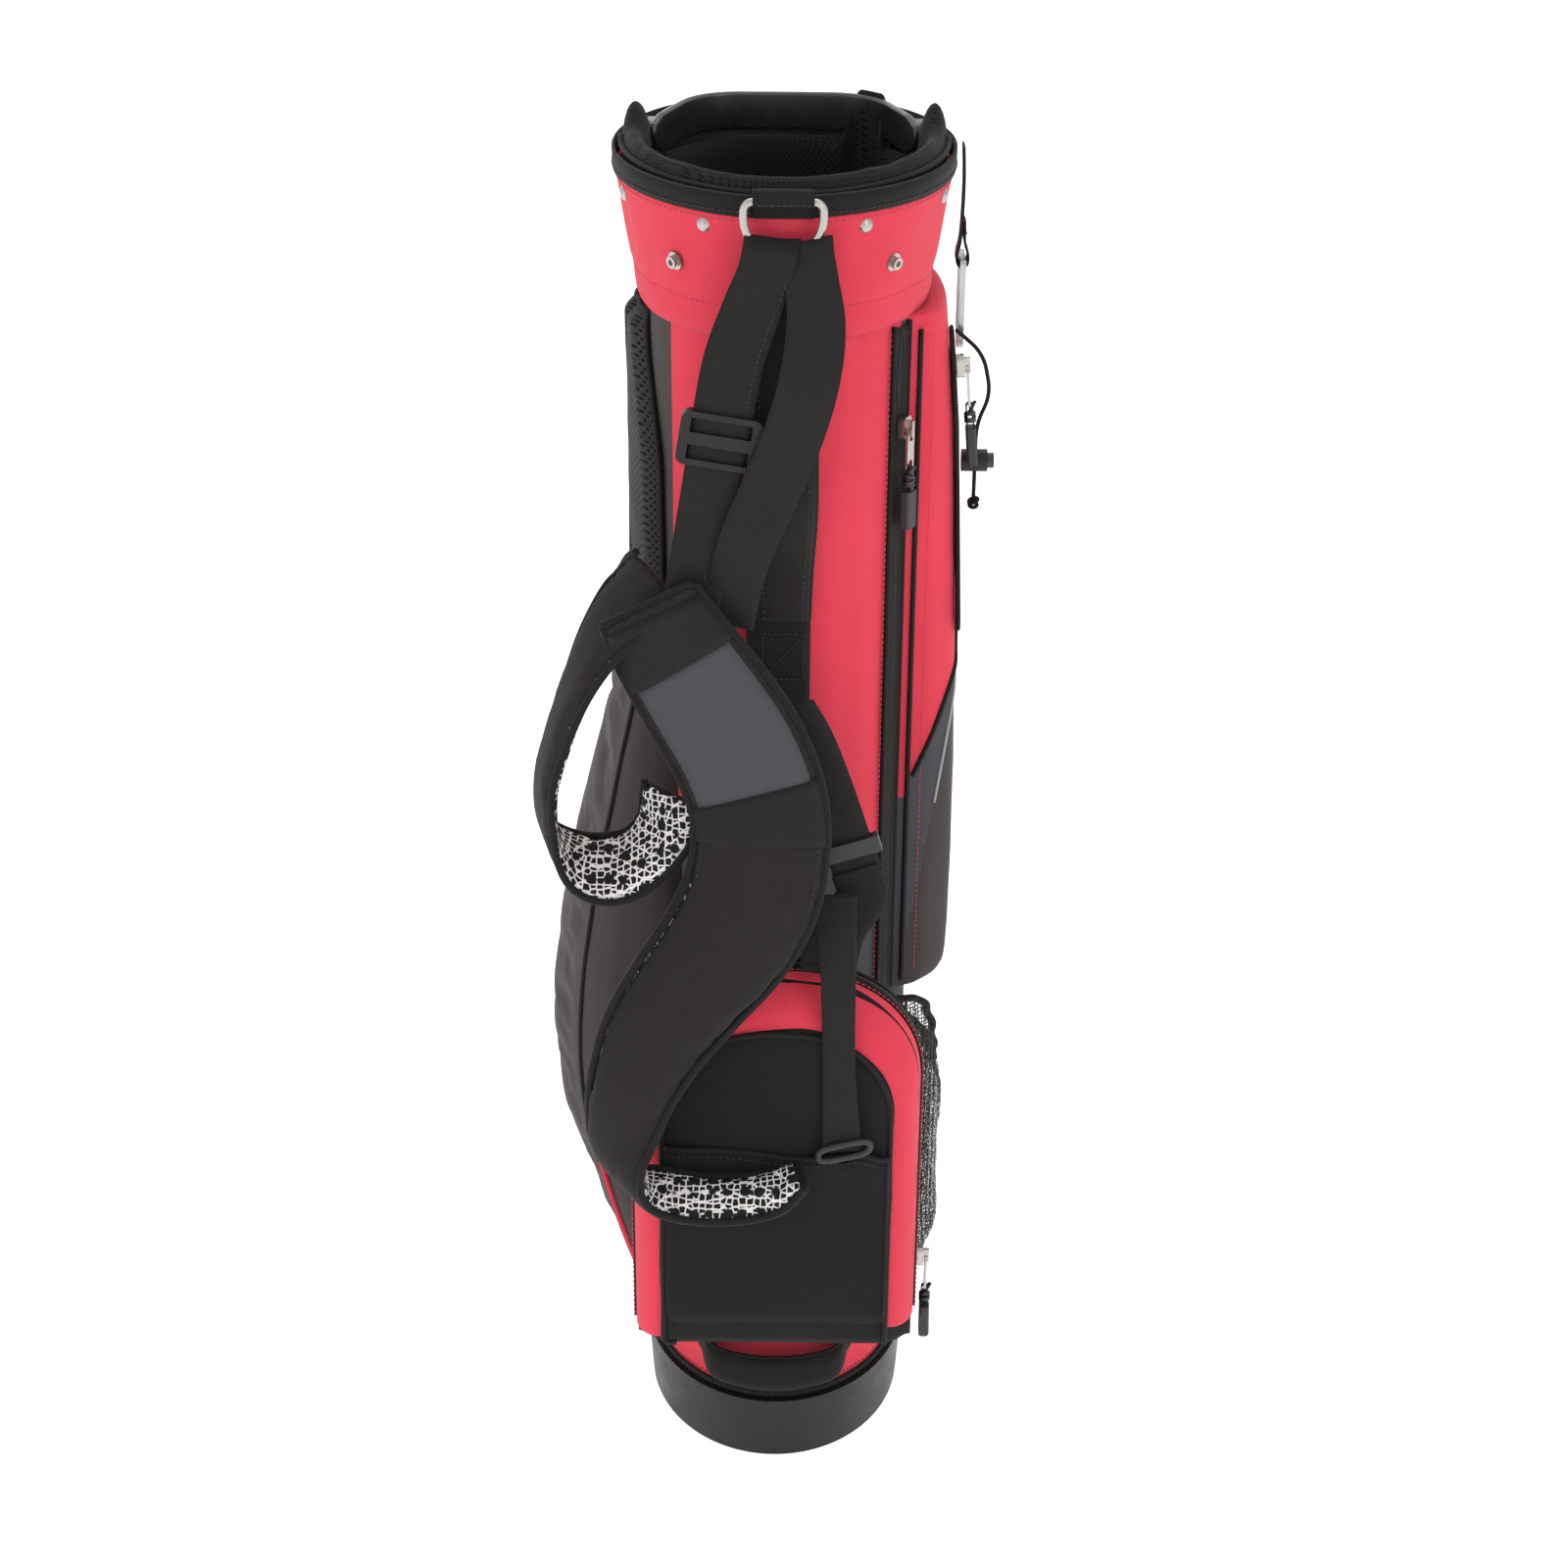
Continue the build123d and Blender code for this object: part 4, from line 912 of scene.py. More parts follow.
def buildTailWebbing():
    # loop that leaves the main pad, passes its flat slider and ends in a square, folded tail
    stops = [(6, -143, 560, 0.85, 0, 0.5, 29), (17, -144.5, 540, 0.9, 0, 0.42, 29),
             (28, -145, 512, 0.95, 0, 0.31, 28),
             (36.5, -145, 486, 0.95, 0, 0.31, 28), (45, -145, 460, 0.95, 0, 0.31, 28)]
    a = strapBody("tailWebbing", strapFrames(stops, 8), tapeLook, strapTape, "black_webbing")
    back = [(43.5, -146.5, 462, 0.96, 0, 0.28, 28), (47.5, -149.0, 449, 0.97, 0, 0.2, 28),
            (44, -151.5, 440, 0.98, 0, -0.1, 29), (36, -152.5, 428, 0.98, 0, -0.12, 31),
            (31, -152.5, 412, 0.99, 0, -0.08, 32), (29, -152, 397, 0.99, 0, -0.06, 33)]
    b = strapBody("tailWebbingEnd", strapFrames(back, 8), tapeLook, strapTape, "black_webbing")
    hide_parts("webbing_tail")
    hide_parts("webbing_tail")
    hemSpots = [((14 + 30 * i / 20, -153.8, 403 - 1.8 * i / 20), (0, -1, 0)) for i in range(21)]
    stitchRow("tailHem", hemSpots, blackThread, "black_webbing", pitch=3.0)
    low = [(33, -158, 452, 0.95, -0.3, 0, 24), (34, -166, 425, 0.95, -0.3, 0, 22),
           (35, -173.5, 396, 0.96, -0.2, 0, 20),
           (36, -175.5, 350, 0.97, -0.15, 0, 19), (38, -177, 306, 0.97, -0.1, 0, 22),
           (39, -178.5, 292, 0.97, 0, 0, 24)]
    c = strapBody("lowerWebbing", strapFrames(low, 8), tapeLook, strapTape, "black_webbing")
    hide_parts("webbing_lower")


buildTailWebbing()


def buildLowerLoop():
    # oval plastic loop that joins the lower webbing to the pad's end
    path = []
    for i in range(40):
        w = 2 * math.pi * i / 40
        x = math.copysign(abs(math.cos(w)) ** 0.6, math.cos(w)) * 15.0
        z = math.copysign(abs(math.sin(w)) ** 0.6, math.sin(w)) * 4.6
        path.append(Vector((40 + x - z * 0.05, -180.5, 293 + z + x * 0.26)))
    pipe("lowerLoop", path, 1.9, greyPlastic, "grey_plastic", closed=True)


buildLowerLoop()
print("shoulder webbing ready")

# shoulder pads
padLook = {"thick": 12.0, "crown": 2.6, "samples": 15, "rim": 0.3}
padBind = {"main": 2.6, "loop": 2.2, "inset": 0.6}


def edgeTubes(name, frames, radius):
    for side, label in ((-1, "A"), (1, "B")):
        edge = [p + a * (side * (w / 2 - padBind["inset"])) for p, t, a, n, w in frames]
        piping(name + label, edge, radius, sides=10)


def endTube(name, frame, radius):
    p, t, a, n, w = frame
    piping(name, [p + a * (w / 2 - padBind["inset"]) * (i / 6 - 1) for i in range(13)], radius, sides=10)


def padCrown(u):
    # height of a pad's face over its middle, from its middle (0) to its edge (1)
    return padLook["thick"] / 2 * max(0.0, 1 - abs(u) ** padLook["crown"]) ** (1 / padLook["crown"])


def overlay(name, frames, low, high, mat, slotName, widen, thick):
    # panel sewn on a pad's face, from share low to share high of its length
    first, last = int(low * (len(frames) - 1)), int(high * (len(frames) - 1))
    count, lift = 13, 0.2
    verts, marks = [], []
    run = 0.0
    for k in range(first, last + 1):
        p, t, a, n, w = frames[k]
        if k > first:
            run += (p - frames[k - 1][0]).length
        for layer in (1, 0):
            for i in range(count):
                u = (-1 + 2 * i / (count - 1)) * (1 if layer else -1)
                edgeDrop = (1 - smoothStep(1.0, 0.93, abs(u))) * thick
                h = padCrown(u * widen)
                h += lift + (thick - edgeDrop if layer else -0.6)
                verts.append(tuple(p + a * (u * widen * w / 2) + n * h))
                marks.append((run, u * widen * w / 2))
    obj = newPiece(name, verts, capped(last - first + 1, 2 * count), mat, "bag", slotName)
    threadMarks(obj, marks)


mainPadStops = [
    (-72, -141, 622, 0.80, 0, 0.60, 58), (-58, -143, 596, 0.83, 0, 0.56, 66),
    (-40, -147, 568, 0.84, 0, 0.54, 72),
    (-23, -153, 541, 0.87, 0, 0.48, 75), (-12, -160, 513, 0.95, 0, 0.3, 75), (-10, -166, 485, 1, 0, 0.03, 75),
    (-16, -173, 456, 0.98, 0, -0.2, 76), (-30, -179, 430, 0.90, 0, -0.42, 74),
    (-50, -185, 404, 0.86, 0, -0.5, 69),
    (-69, -190, 376, 0.93, -0.1, -0.36, 61), (-82, -194, 346, 0.97, -0.2, -0.18, 51),
    (-89, -194, 318, 0.93, -0.45, 0.02, 45), (-91, -194, 298, 0.72, -0.72, 0.1, 42),
    (-84, -192, 281, 0.42, -0.92, 0.1, 38), (-66, -191, 271, 0.05, -0.93, -0.32, 34),
    (-42, -191, 266, 0, -0.9, -0.42, 32), (-18, -190, 266, 0, -0.9, -0.42, 31),
    (2, -189, 271, -0.1, -0.9, -0.4, 30),
    (15, -187, 281, -0.2, -0.9, -0.34, 28)]


def buildMainPad():
    frames = strapFrames(mainPadStops, 7)
    pad = strapBody("mainPad", frames, padLook, [padCloth, whiteNet, edgeTape], "black_fabric")
    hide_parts("shoulder_pad_main")
    plump(pad, 4.0, 2.6, lambda p: p.z > 505 or p.x > 6)
    edgeTubes("mainPadBinding", frames, padBind["main"])
    endTube("mainPadEndTop", frames[0], padBind["main"])
    endTube("mainPadEndLow", frames[-1], padBind["main"])
    overlay("padSlatePanel", frames, 0.075, 0.225, slateCloth, "black_fabric", 0.86, 1.2)
    overlay("padBandTop", frames, 0.02, 0.078, strapTape, "black_webbing", 0.97, 2.0)
    overlay("padBandLow", frames, 0.222, 0.275, strapTape, "black_webbing", 0.97, 2.0)
    for side, label in ((-1, "A"), (1, "B")):
        spots = []
        for p, t, a, n, w in frames[14:42]:
            u = 0.86
            spots.append((p + a * (side * u * w / 2) + n * (padCrown(u) + 0.1), n))
        stitchRow("mainPadStitch" + label, spots, blackThread, "black_fabric")


buildMainPad()

loopPadStops = [
    (-66, -128, 632, 0.9, 0, 0.42, 40), (-84, -129, 616, 0.78, -0.2, 0.6, 46),
    (-100, -131, 594, 0.62, -0.5, 0.5, 44),
    (-113, -134, 568, 0.42, -0.85, 0.28, 42), (-124, -137, 538, 0.27, -0.95, 0.12, 42),
    (-131, -140, 510, 0.22, -0.96, 0.05, 42), (-129, -142, 484, 0.25, -0.93, -0.1, 42),
    (-115, -143, 466, 0.1, -0.88, -0.36, 44), (-97, -144, 460, 0.0, -0.84, -0.5, 46),
    (-80, -144, 466, 0.1, -0.84, -0.5, 46), (-66, -142, 482, 0.5, -0.7, -0.3, 44),
    (-58, -140, 506, 0.9, -0.3, 0, 40)]


def buildLoopPad():
    frames = strapFrames(loopPadStops, 8)
    look = dict(padLook, thick=9.0)
    pad = strapBody("loopPad", frames, look, [padCloth, whiteNet, edgeTape], "black_fabric")
    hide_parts("shoulder_pad_loop")
    plump(pad, 4.0, 1.6, lambda p: p.z > 615 or p.x > -64)
    edgeTubes("loopPadBinding", frames, padBind["loop"])


buildLoopPad()
print("shoulder pads ready")


# pockets and panels
def skinTree(obj):
    return BVHTree.FromPolygons([v.co / mm for v in obj.data.vertices],
                                [p.vertices[:] for p in obj.data.polygons])


def sectionSkin(name, loops, mats, slotName, rule=None, around=9, up=10, wave=1.2, body="bag"):
    # skin through closed plan loops: loops holds (z, [(x, y), ...]) from low to high
    rows = splineThrough([[z] + [c for p in points for c in p] for z, points in loops], up)
    verts = []
    cols = len(loops[0][1])
    for row in rows:
        z = row[0]
        points = [(row[1 + 2 * i], row[2 + 2 * i]) for i in range(cols)]
        ring = points[-1:] + points + points[:2]
        for i in range(1, cols + 1):
            for s in range(around):
                t = s / around
                x, y = (curveAt(a, b, c, d, t) for a, b, c,
                        d in zip(ring[i - 1], ring[i], ring[i + 1], ring[i + 2]))
                push = 1 + (wobble(x, y, z, 55, wave) + wobble(x, y, z, 17, wave * 0.3)) / max(60.0,
                                                                                               math.hypot(x,
                                                                                                          y))
                verts.append((x * push, y * push, z))
    count = cols * around
    faces = capped(len(rows), count)
    kinds = None
    if rule:
        kinds = []
        for f in faces:
            middle = [sum(verts[i][k] for i in f) / len(f) for k in range(3)]
            kinds.append(rule(*middle))
    return newPiece(name, verts, faces, mats, body, slotName, kinds)


wallMiddle = {"halfWidth": 80.1, "halfDepth": 98.1}


def keepOut(obj):
    # whatever reaches inside the tube is laid in its wall
    for v in obj.data.vertices:
        q = math.hypot(v.co.x / (wallMiddle["halfWidth"] * mm), v.co.y / (wallMiddle["halfDepth"] * mm))
        if 0.05 < q < 1:
            v.co.x, v.co.y = v.co.x / q, v.co.y / q


def seamAcross(tree, rule, low, high, steps, lift):
    # follows a height rule over a skin, seen from outside
    path, z = [], rule(95, 0)
    for i in range(steps + 1):
        a = math.radians(low + (high - low) * i / steps)
        spot = None
        for _ in range(12):
            out = Vector((math.cos(a), math.sin(a), 0))
            hit, normal, _face, _gap = tree.ray_cast(Vector((300 * out.x, 300 * out.y, z)), -out)
            if hit is None:
                break
            spot = hit + normal * lift
            z += 0.4 * (rule(hit.x, hit.y) - z)
        if spot is not None:
            path.append(spot)
    return path


def faceX(z):
    return 94 + (742 - z) / 52 * 4.5 if z > 690 else 98.5 + (690 - z) / 130 * 5.5


def slateRule(x, y):
    return 455 + 2.2 * (x - 70) + 0.6 * (y + 50)


def taupeRule(x, y):
    return 348 + 6 * (x - 74) + 0.5 * (y + 30)


def buildRightPocket():
    loops = []
    for z, face in ((328, 84), (329, 96), (334, 102), (350, 104.5), (420, 105.5), (500, 104.2), (566, 103.0),
                    (630, 100.4), (690, 97.8), (742, 93.4), (754, 91.0), (758, 87.0)):
        share = (face - 70) / 34
        front = 70 + 14 * share
        loops.append((z, [(66, -52), (front, -50.0), (front + 9.5 * share, -44.5), (face - 1.4, -34),
                          (face, -20),
                          (face + 1.4 * share, 0), (face + 1.0 * share, 24), (face - 5 * share, 45),
                          (72 + 14 * share, 59), (66, 66), (54, 60), (48, 0), (56, -40)]))

    def rule(x, y, z):
        if z < taupeRule(x, y) and x > 74:
            return 2
        return 1 if z < slateRule(x, y) else 0

    skin = sectionSkin("rightPocket", loops, [coralCloth, slateCloth, taupeCloth], "coral_fabric", rule, 8,
                       12, 1.0)
    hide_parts("right_pocket")
    keepOut(skin)
    tree = skinTree(skin)
    piping("slatePiping", seamAcross(tree, slateRule, -33, 40, 46, 0.6), 1.5)
    pipe("taupePiping", seamAcross(tree, taupeRule, -26, 36, 40, 0.4), 0.9, paleThread, "black_webbing")
    front = []
    for z in range(334, 752, 8):
        hit = tree.ray_cast(Vector((76, -300, z)), Vector((0, 1, 0)))[0]
        if hit:
            front.append(hit + Vector((0.3, -0.6, 0)))
    piping("pocketPiping", front, 1.5)
    spots = []
    for z in range(340, 750, 4):
        hit, normal, _f, _g = tree.ray_cast(Vector((84, -300, z)), Vector((0, 1, 0)))
        if hit:
            spots.append((hit, normal))
    stitchRow("pocketStitch", spots, coralThread, "coral_fabric")


buildRightPocket()


def buildLeftPocket():
    loops = []
    for z, reach, half in ((104, 78, 50), (105, 90, 60), (112, 98, 66), (150, 112, 70), (187, 123, 71),
                           (225, 133, 72),
                           (263, 138, 72), (300, 138, 72), (336, 134, 72), (380, 127, 71), (420, 119, 70),
                           (460, 110, 68), (500, 101, 66), (540, 93, 62), (570, 87, 58), (583, 83, 54),
                           (585, 79, 50)):
        points = []
        for i in range(13):
            a = math.radians(-90 + 15 * i)
            points.append((-(62 + (reach - 62) * max(0.0, math.cos(a)) ** 0.6), half * math.sin(a)))
        points += [(-46, 40), (-46, -40)]
        loops.append((z, points[::-1]))
    skin = sectionSkin("leftPocket", loops, taupeCloth, "taupe_fabric", None, 5, 8, 2.2)
    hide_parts("left_pocket")
    plump(skin, 5.5, 6.0, lambda p: p.x > -74 or p.z < 116 or p.z > 560 or p.y < -40, 0.04)
    keepOut(skin)
    tree = skinTree(skin)
    front = []
    for z in range(112, 580, 8):
        hit, normal, _f, _g = tree.ray_cast(Vector((-300, -52, z)), Vector((1, 0, 0)))
        if hit:
            front.append(hit + normal * 0.5)
    for _ in range(6):
        front = front[:1] + [(a + b * 2 + c) / 4 for a, b, c in zip(front, front[1:], front[2:])] + front[-1:]
    piping("leftPiping", front, 1.6)
    low = [p for p in front if p.z < 214]
    pipe("leftCoralPiping", [p + Vector((2.0, -4.4, 0)) for p in low], 1.9, coralCloth, "coral_fabric")
    spots = [(p + Vector((-1.2, 3.6, 0)), Vector((-0.8, -0.6, 0))) for p in front]
    stitchRow("leftStitch", spots, blackThread, "taupe_fabric")


buildLeftPocket()


def yAngle(y, left):
    a = math.asin(max(-1.0, min(1.0, y / tube["halfDepth"])))
    return math.pi - a if left else a


def buildHipPad():
    # quilted mesh pad: rounded edge, one curved channel pressed into it
    rows, cols = 110, 64
    verts = []
    for layer in (1, 0):
        for r in range(rows + 1):
            z = 590 + 165 * r / rows
            share = r / rows
            low = -58 + 2 * math.sin(share * 3) + 17 * smoothStep(0.45, 1.0, share)
            high = 16 - 13 * smoothStep(0.35, 1.0, share)
            for c in range(cols + 1):
                v = c / cols
                y = low + (high - low) * v
                edge = min(r / rows, 1 - r / rows) * 165
                side = min(v, 1 - v) * (high - low)
                lift = 9.0 * smoothStep(-1.5, 9.0, edge) ** 0.5 * smoothStep(-1.5, 9.0, side) ** 0.5
                channel = 0.40 + 0.34 * math.sin(share * 2.6 + 0.2)
                lift -= 4.6 * bump(v, channel, 0.085)
                lift += wobble(0, y, z, 20, 0.5)
                a = yAngle(y, True)
                spot = onTube(a, z, max(0.8, lift) if layer else -0.5)
                verts.append(tuple(spot))
    faces, outline = sheetFaces(rows, cols)
    pad = newPiece("hipPad", verts, faces, hipMesh, "bag", "black_mesh")
    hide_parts("hip_pad")
    edge = [Vector(verts[i]) for i in outline]
    middle = sum(edge, Vector()) / len(edge)
    edge = [p + (p - middle).normalized() * 0.4 for p in edge[::2]]
    piping("hipPadEdge", edge, 1.5, closed=True)


buildHipPad()
print("side pockets ready")

ball = {"half": 84.0, "front": -170.0, "low": 139.0, "top": 392.0, "rise": 70.0}
ballFace = {"wide": 0.80, "low": 145.0, "climb": 0.875, "middle": 250.0, "share": 0.8}


def archPoint(t, grow=0.0, squeeze=1.0):
    # closed outline: up the right side, over the arch, down the left side, back along the bottom
    w = (ball["half"] + grow) * squeeze
    spring = ball["top"] - ball["rise"]
    straight, arch, bottom = spring - ball["low"], 2.42 * ball["half"], 2 * ball["half"]
    run = t * (2 * straight + arch + bottom)
    if run < straight:
        return w, ball["low"] + run
    run -= straight
    if run < arch:
        a = math.pi * run / arch
        c, s = math.cos(a), math.sin(a)
        return math.copysign(abs(c) ** 0.86, c) * w, spring + (ball["rise"] + grow) * s ** 0.92
    run -= arch
    if run < straight:
        return -w, spring - run
    run -= straight
    return -w + 2 * w * run / bottom, ball["low"]


def facePoint(t, share):
    # from the face's middle (0) over its edge (0.8) to the full outline (1)
    x, z = archPoint(t)
    edge = (ballFace["wide"] * x, ballFace["low"] + (z - ball["low"]) * ballFace["climb"])
    if share <= ballFace["share"]:
        u = share / ballFace["share"]
        return edge[0] * u, ballFace["middle"] + (edge[1] - ballFace["middle"]) * u
    u = (share - ballFace["share"]) / 0.2
    return edge[0] + (x - edge[0]) * u, edge[1] + (z - edge[1]) * u


def buildBallPocket():
    around = 240
    verts = []
    rings = [(0.06, -3.0), (0.25, -2.9), (0.45, -2.6), (0.6, -2.1), (0.7, -1.4), (0.76, -0.5), (0.80, 0.8),
             (0.83, 3.0),
             (0.90, 9.5), (0.96, 16.0)]
    for share, back in rings:
        for i in range(around):
            x, z = facePoint(i / around, share)
            y = ball["front"] + back + wobble(x, 0, z, 42, 1.8) * (1 - share ** 4) - 0.4
            verts.append((x, y, z))
    for y, squeeze in ((-152, 1.0), (-146, 1.0), (-135, 1.0), (-124, 0.995), (-112, 0.93), (-98, 0.84),
                       (-84, 0.75),
                       (-70, 0.66), (-60, 0.58)):
        for i in range(around):
            x, z = archPoint(i / around, 0, squeeze)
            soft = 1 + wobble(x, y, z, 30, 0.004)
            verts.append((x * soft, y, z if z < 140 else 132 + (z - 132) * (0.55 + 0.45 * squeeze) * soft))
    count = len(rings) + 9
    skin = newPiece("ballPocket", verts, capped(count, around), blackCloth, "bag", "black_fabric")
    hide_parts("ball_pocket")
    keepOut(skin)
    path = []
    for i in range(150):
        x, z = facePoint(i / 149 * 0.785, 0.8)
        path.append(Vector((x, ball["front"] - 0.2, z)))
    piping("ballFacePiping", path, 1.7)
    # coral cover band over the zip, with its own piping
    verts, path, back = [], [], []
    shares = [0.018 + (0.785 - 0.036) * i / 180 for i in range(181)]
    for t in shares:
        x, z = archPoint(t, 0.4)
        for layer in (1, 0):
            for s in range(11):
                v = s / 10 if layer else 1 - s / 10
                share = 0.81 + 0.19 * math.sin(v * 1.5708) ** 0.8
                y = -168.5 + 28.0 * v ** 1.25
                grow = 1.9 * (1 - abs(2 * v - 1) ** 5) * layer - 0.5 * (1 - layer)
                x1, z1 = facePoint(t, share)
                x1, z1 = x1 + grow * x / 84, z1 + grow * max(0.0, (z - 300) / 92)
                verts.append((x1, y, z1))
        x1, z1 = x * 1.012, z + 0.8 * smoothStep(300, 392, z)
        path.append(Vector((x1, -140.4, z1)))
        back.append(Vector((x1 * 0.998, -129.6, z1 - 0.4)))
    trim = newPiece("ballTrim", verts, capped(181, 22), coralCloth, "bag", "coral_fabric")
    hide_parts("ball_trim")
    piping("trimPiping", path, 1.5)
    piping("trimBackPiping", back, 1.2)
    spots = []
    for t in shares:
        x, z = archPoint(t, 3.2)
        spots.append(((x * 0.995, -144.5, z), (math.copysign(1, x) if z < 322 else x / 84, 0,
                                               1 if z > 322 else 0)))
    stitchRow("trimStitch", spots, coralThread, "coral_fabric")
    spots = []
    for i in range(240):
        x, z = archPoint(0.02 + 0.745 * i / 239, 1.4)
        spots.append(((x, -135, z), Vector((x / 84, 0, max(0.0, (z - 322) / 74))).normalized()))
    coilRows("ballCoil", spots, zipPlastic, "coil_zip", reach=2.0, radius=0.5)


buildBallPocket()


def buildFlap():
    # slip pocket on the face: hemmed top edge with one sagging corner
    rows, cols = 52, 44
    verts = []
    for layer in (1, 0):
        for r in range(rows + 1):
            for c in range(cols + 1):
                x = -66 + 132 * c / cols
                v = r / rows
                top = 290 - 5 * bump(x, 12, 30) - 7 * smoothStep(48, 68, x)
                z = 145 + (top - 145) * v
                bend = 3.0 * smoothStep(58, 70, abs(x))
                sag = 3.2 * smoothStep(0.72, 1.0, v) * bump(x, 38, 24)
                y = ball["front"] - 3.7 - 0.6 * layer - sag + wobble(x, 9, z, 36, 1.6) * (0.2 + 0.8 * v)
                verts.append((x, max(y, -177.0) + bend + 15 * smoothStep(178, 140, z) ** 2, z))
    wide = cols + 1
    flap = newPiece("pocketFlap", verts, sheetFaces(rows, cols)[0], blackCloth, "bag", "black_fabric")
    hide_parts("pocket_flap")
    top = [Vector(verts[rows * wide + c]) + Vector((0, -0.2, -0.4)) for c in range(wide)]
    piping("flapHem", top, 1.5)
    right = [Vector(verts[r * wide + cols]) for r in range(rows + 1)]
    piping("flapEdge", right, 1.3)
    spots = [(p + Vector((0, -0.5, -5.0)), (0, -1, 0)) for p in top]
    stitchRow("flapStitch", spots, blackThread, "black_fabric")


buildFlap()


def buildGrab():
    path, count = [], 40
    for i in range(count + 1):
        a = math.radians(270 - 36 + 72 * i / count)
        u = abs(2 * i / count - 1)
        off = 19.5 - 17.5 * smoothStep(0.62, 1.0, u)
        x, y = oval(81 + off - 4, 99 + off - 4, a)
        path.append((x, y, 80 - 3.5 * (1 - u * u), 0, 0, 1, 26 - 3 * u))
    frames = strapFrames(path[::2], 3)
    grab = strapBody("grabHandle", frames, {"thick": 7.5, "crown": 2.6, "samples": 13}, blackCloth,
                     "black_fabric")
    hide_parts("lower_grab_handle")
    for side, label in ((-1, "Low"), (1, "High")):
        edge = [p + a * (side * (w / 2 - 0.4)) for p, t, a, n, w in frames]
        piping("grabPiping" + label, edge, 1.4)


buildGrab()


def buildPouch():
    # gathered net with an elastic edge, drawn in at its bottom
    rows, cols = 60, 70
    verts = []

    def spot(u, v):
        y = -57 + 90 * u
        a = yAngle(y, False)
        x0 = oval(81, 99, a)[0]
        out = math.sin(math.pi * u) ** 0.42
        high = 322 - 66 * smoothStep(0.02, 0.5, u) - 4 * math.sin(3 * u)
        z = 94 + (high - 94) * v
        reach = 104.5 - 13 * (1 - smoothStep(0.0, 0.22, v)) - 5.0 * smoothStep(0.86, 1.0, v)
        x = x0 + 0.8 + (reach - x0) * out
        gather = math.sin(u * 62) * 0.9 * smoothStep(0.75, 1.0, v) + wobble(x, y, z, 26, 1.4) * out
        return x + gather, y, z

    for r in range(rows + 1):
        for c in range(cols + 1):
            verts.append(spot(c / cols, r / rows))
    net = newPiece("bottlePouch", verts, gridFaces(rows + 1, cols + 1, closeCols=False), pouchNet, "bag",
                   "black_mesh")
    solid = net.modifiers.new("thick", "SOLIDIFY")
    solid.thickness = 0.0009
    solid.offset = 0
    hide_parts("bottle_pouch")
    edge = [Vector(spot(i / 90, 1.0)) for i in range(91)]
    piping("pouchEdge", edge, 2.6, flat=0.7)
    low = [Vector(spot(i / 60, 0.0)) for i in range(61)]
    piping("pouchFoot", low, 2.2)
    for u, label in ((0.0, "Front"), (1.0, "Rear")):
        piping("pouchSide" + label, [Vector(spot(u, i / 40)) for i in range(41)], 2.0)


buildPouch()
print("pockets ready")


# zips
def zipStrip(name, line, width):
    # line holds (point, outward); the tape lies on the surface and its coil stands a little above it
    rows = []
    points = [Vector(p) for p, n in line]
    for i, (p, n) in enumerate(line):
        p, n = Vector(p), Vector(n).normalized()
        across = runAt(points, i).cross(n)
        rows.append((*(p + n * 0.75), *across, width))
    return strapBody(name, strapFrames(rows, 2), dict(tapeLook, thick=1.1), edgeTape, "coil_zip")


def buildGarmentZip():
    x0 = oval(81, 99, yAngle(-60, False))[0]
    out, side = Vector((0.8486, -0.5290, 0)), Vector((0.5290, 0.8486, 0))
    centre = Vector((x0, -60, 0))
    line = [(centre + Vector((0, 0, z)) + out * 0.2, out) for z in range(330, 755, 8)]
    tape = zipStrip("garmentTape", line, 16)
    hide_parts("garment_zip_tape")
    spots = [(centre + out * 1.25 + Vector((0, 0, z)), out) for z in range(336, 700, 4)]
    coilRows("garmentCoil", spots, zipPlastic, "coil_zip", pitch=1.9, reach=1.9, radius=0.45)
    for sign, label in ((-1, "A"), (1, "B")):
        spots, edge = [], []
        for z in range(696, 755, 3):
            gap = 3.6 * smoothStep(696, 722, z) * smoothStep(756, 730, z)
            spots.append((centre + out * 1.4 + side * (sign * (gap + 0.4)) + Vector((0, 0, z)), out))
        coilRows("garmentOpen" + label, spots, zipPlastic, "coil_zip", pitch=1.9, reach=1.0, radius=0.5)
        for z in range(330, 758, 6):
            edge.append(centre + out * 0.9 + side * (sign * 8.2 + wobble(0, sign, z, 60, 0.6)) + Vector((0, 0,
                                                                                                         z)))
        piping("garmentPiping" + label, edge, 1.5)
        if sign < 0:
            spots = [(p - side * 3.4 - out * 0.3, out) for p in edge]
            stitchRow("garmentStitch", spots, coralThread, "coral_fabric")


buildGarmentZip()


def buildValuablesZip():
    line = [((faceX(z) + 0.1, -30, z), (0.996, 0, 0.086)) for z in range(566, 741, 8)]
    tape = zipStrip("valuablesTape", line, 10.5)
    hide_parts("valuables_zip")
    spots = [((faceX(z) + 1.5, -30, z), (0.996, 0, 0.086)) for z in range(570, 738, 4)]
    coilRows("valuablesCoil", spots, zipPlastic, "coil_zip", pitch=1.8, reach=1.6, radius=0.45)
    ring = []
    for i in range(72):
        w = 2 * math.pi * i / 72
        z = 653 + 91 * math.copysign(abs(math.sin(w)) ** 0.12, math.sin(w))
        y = -30 + 7.4 * math.copysign(abs(math.cos(w)) ** 0.5, math.cos(w))
        ring.append(Vector((faceX(z) + 0.5, y, z)))
    piping("valuablesPiping", ring, 1.3, closed=True)


buildValuablesZip()

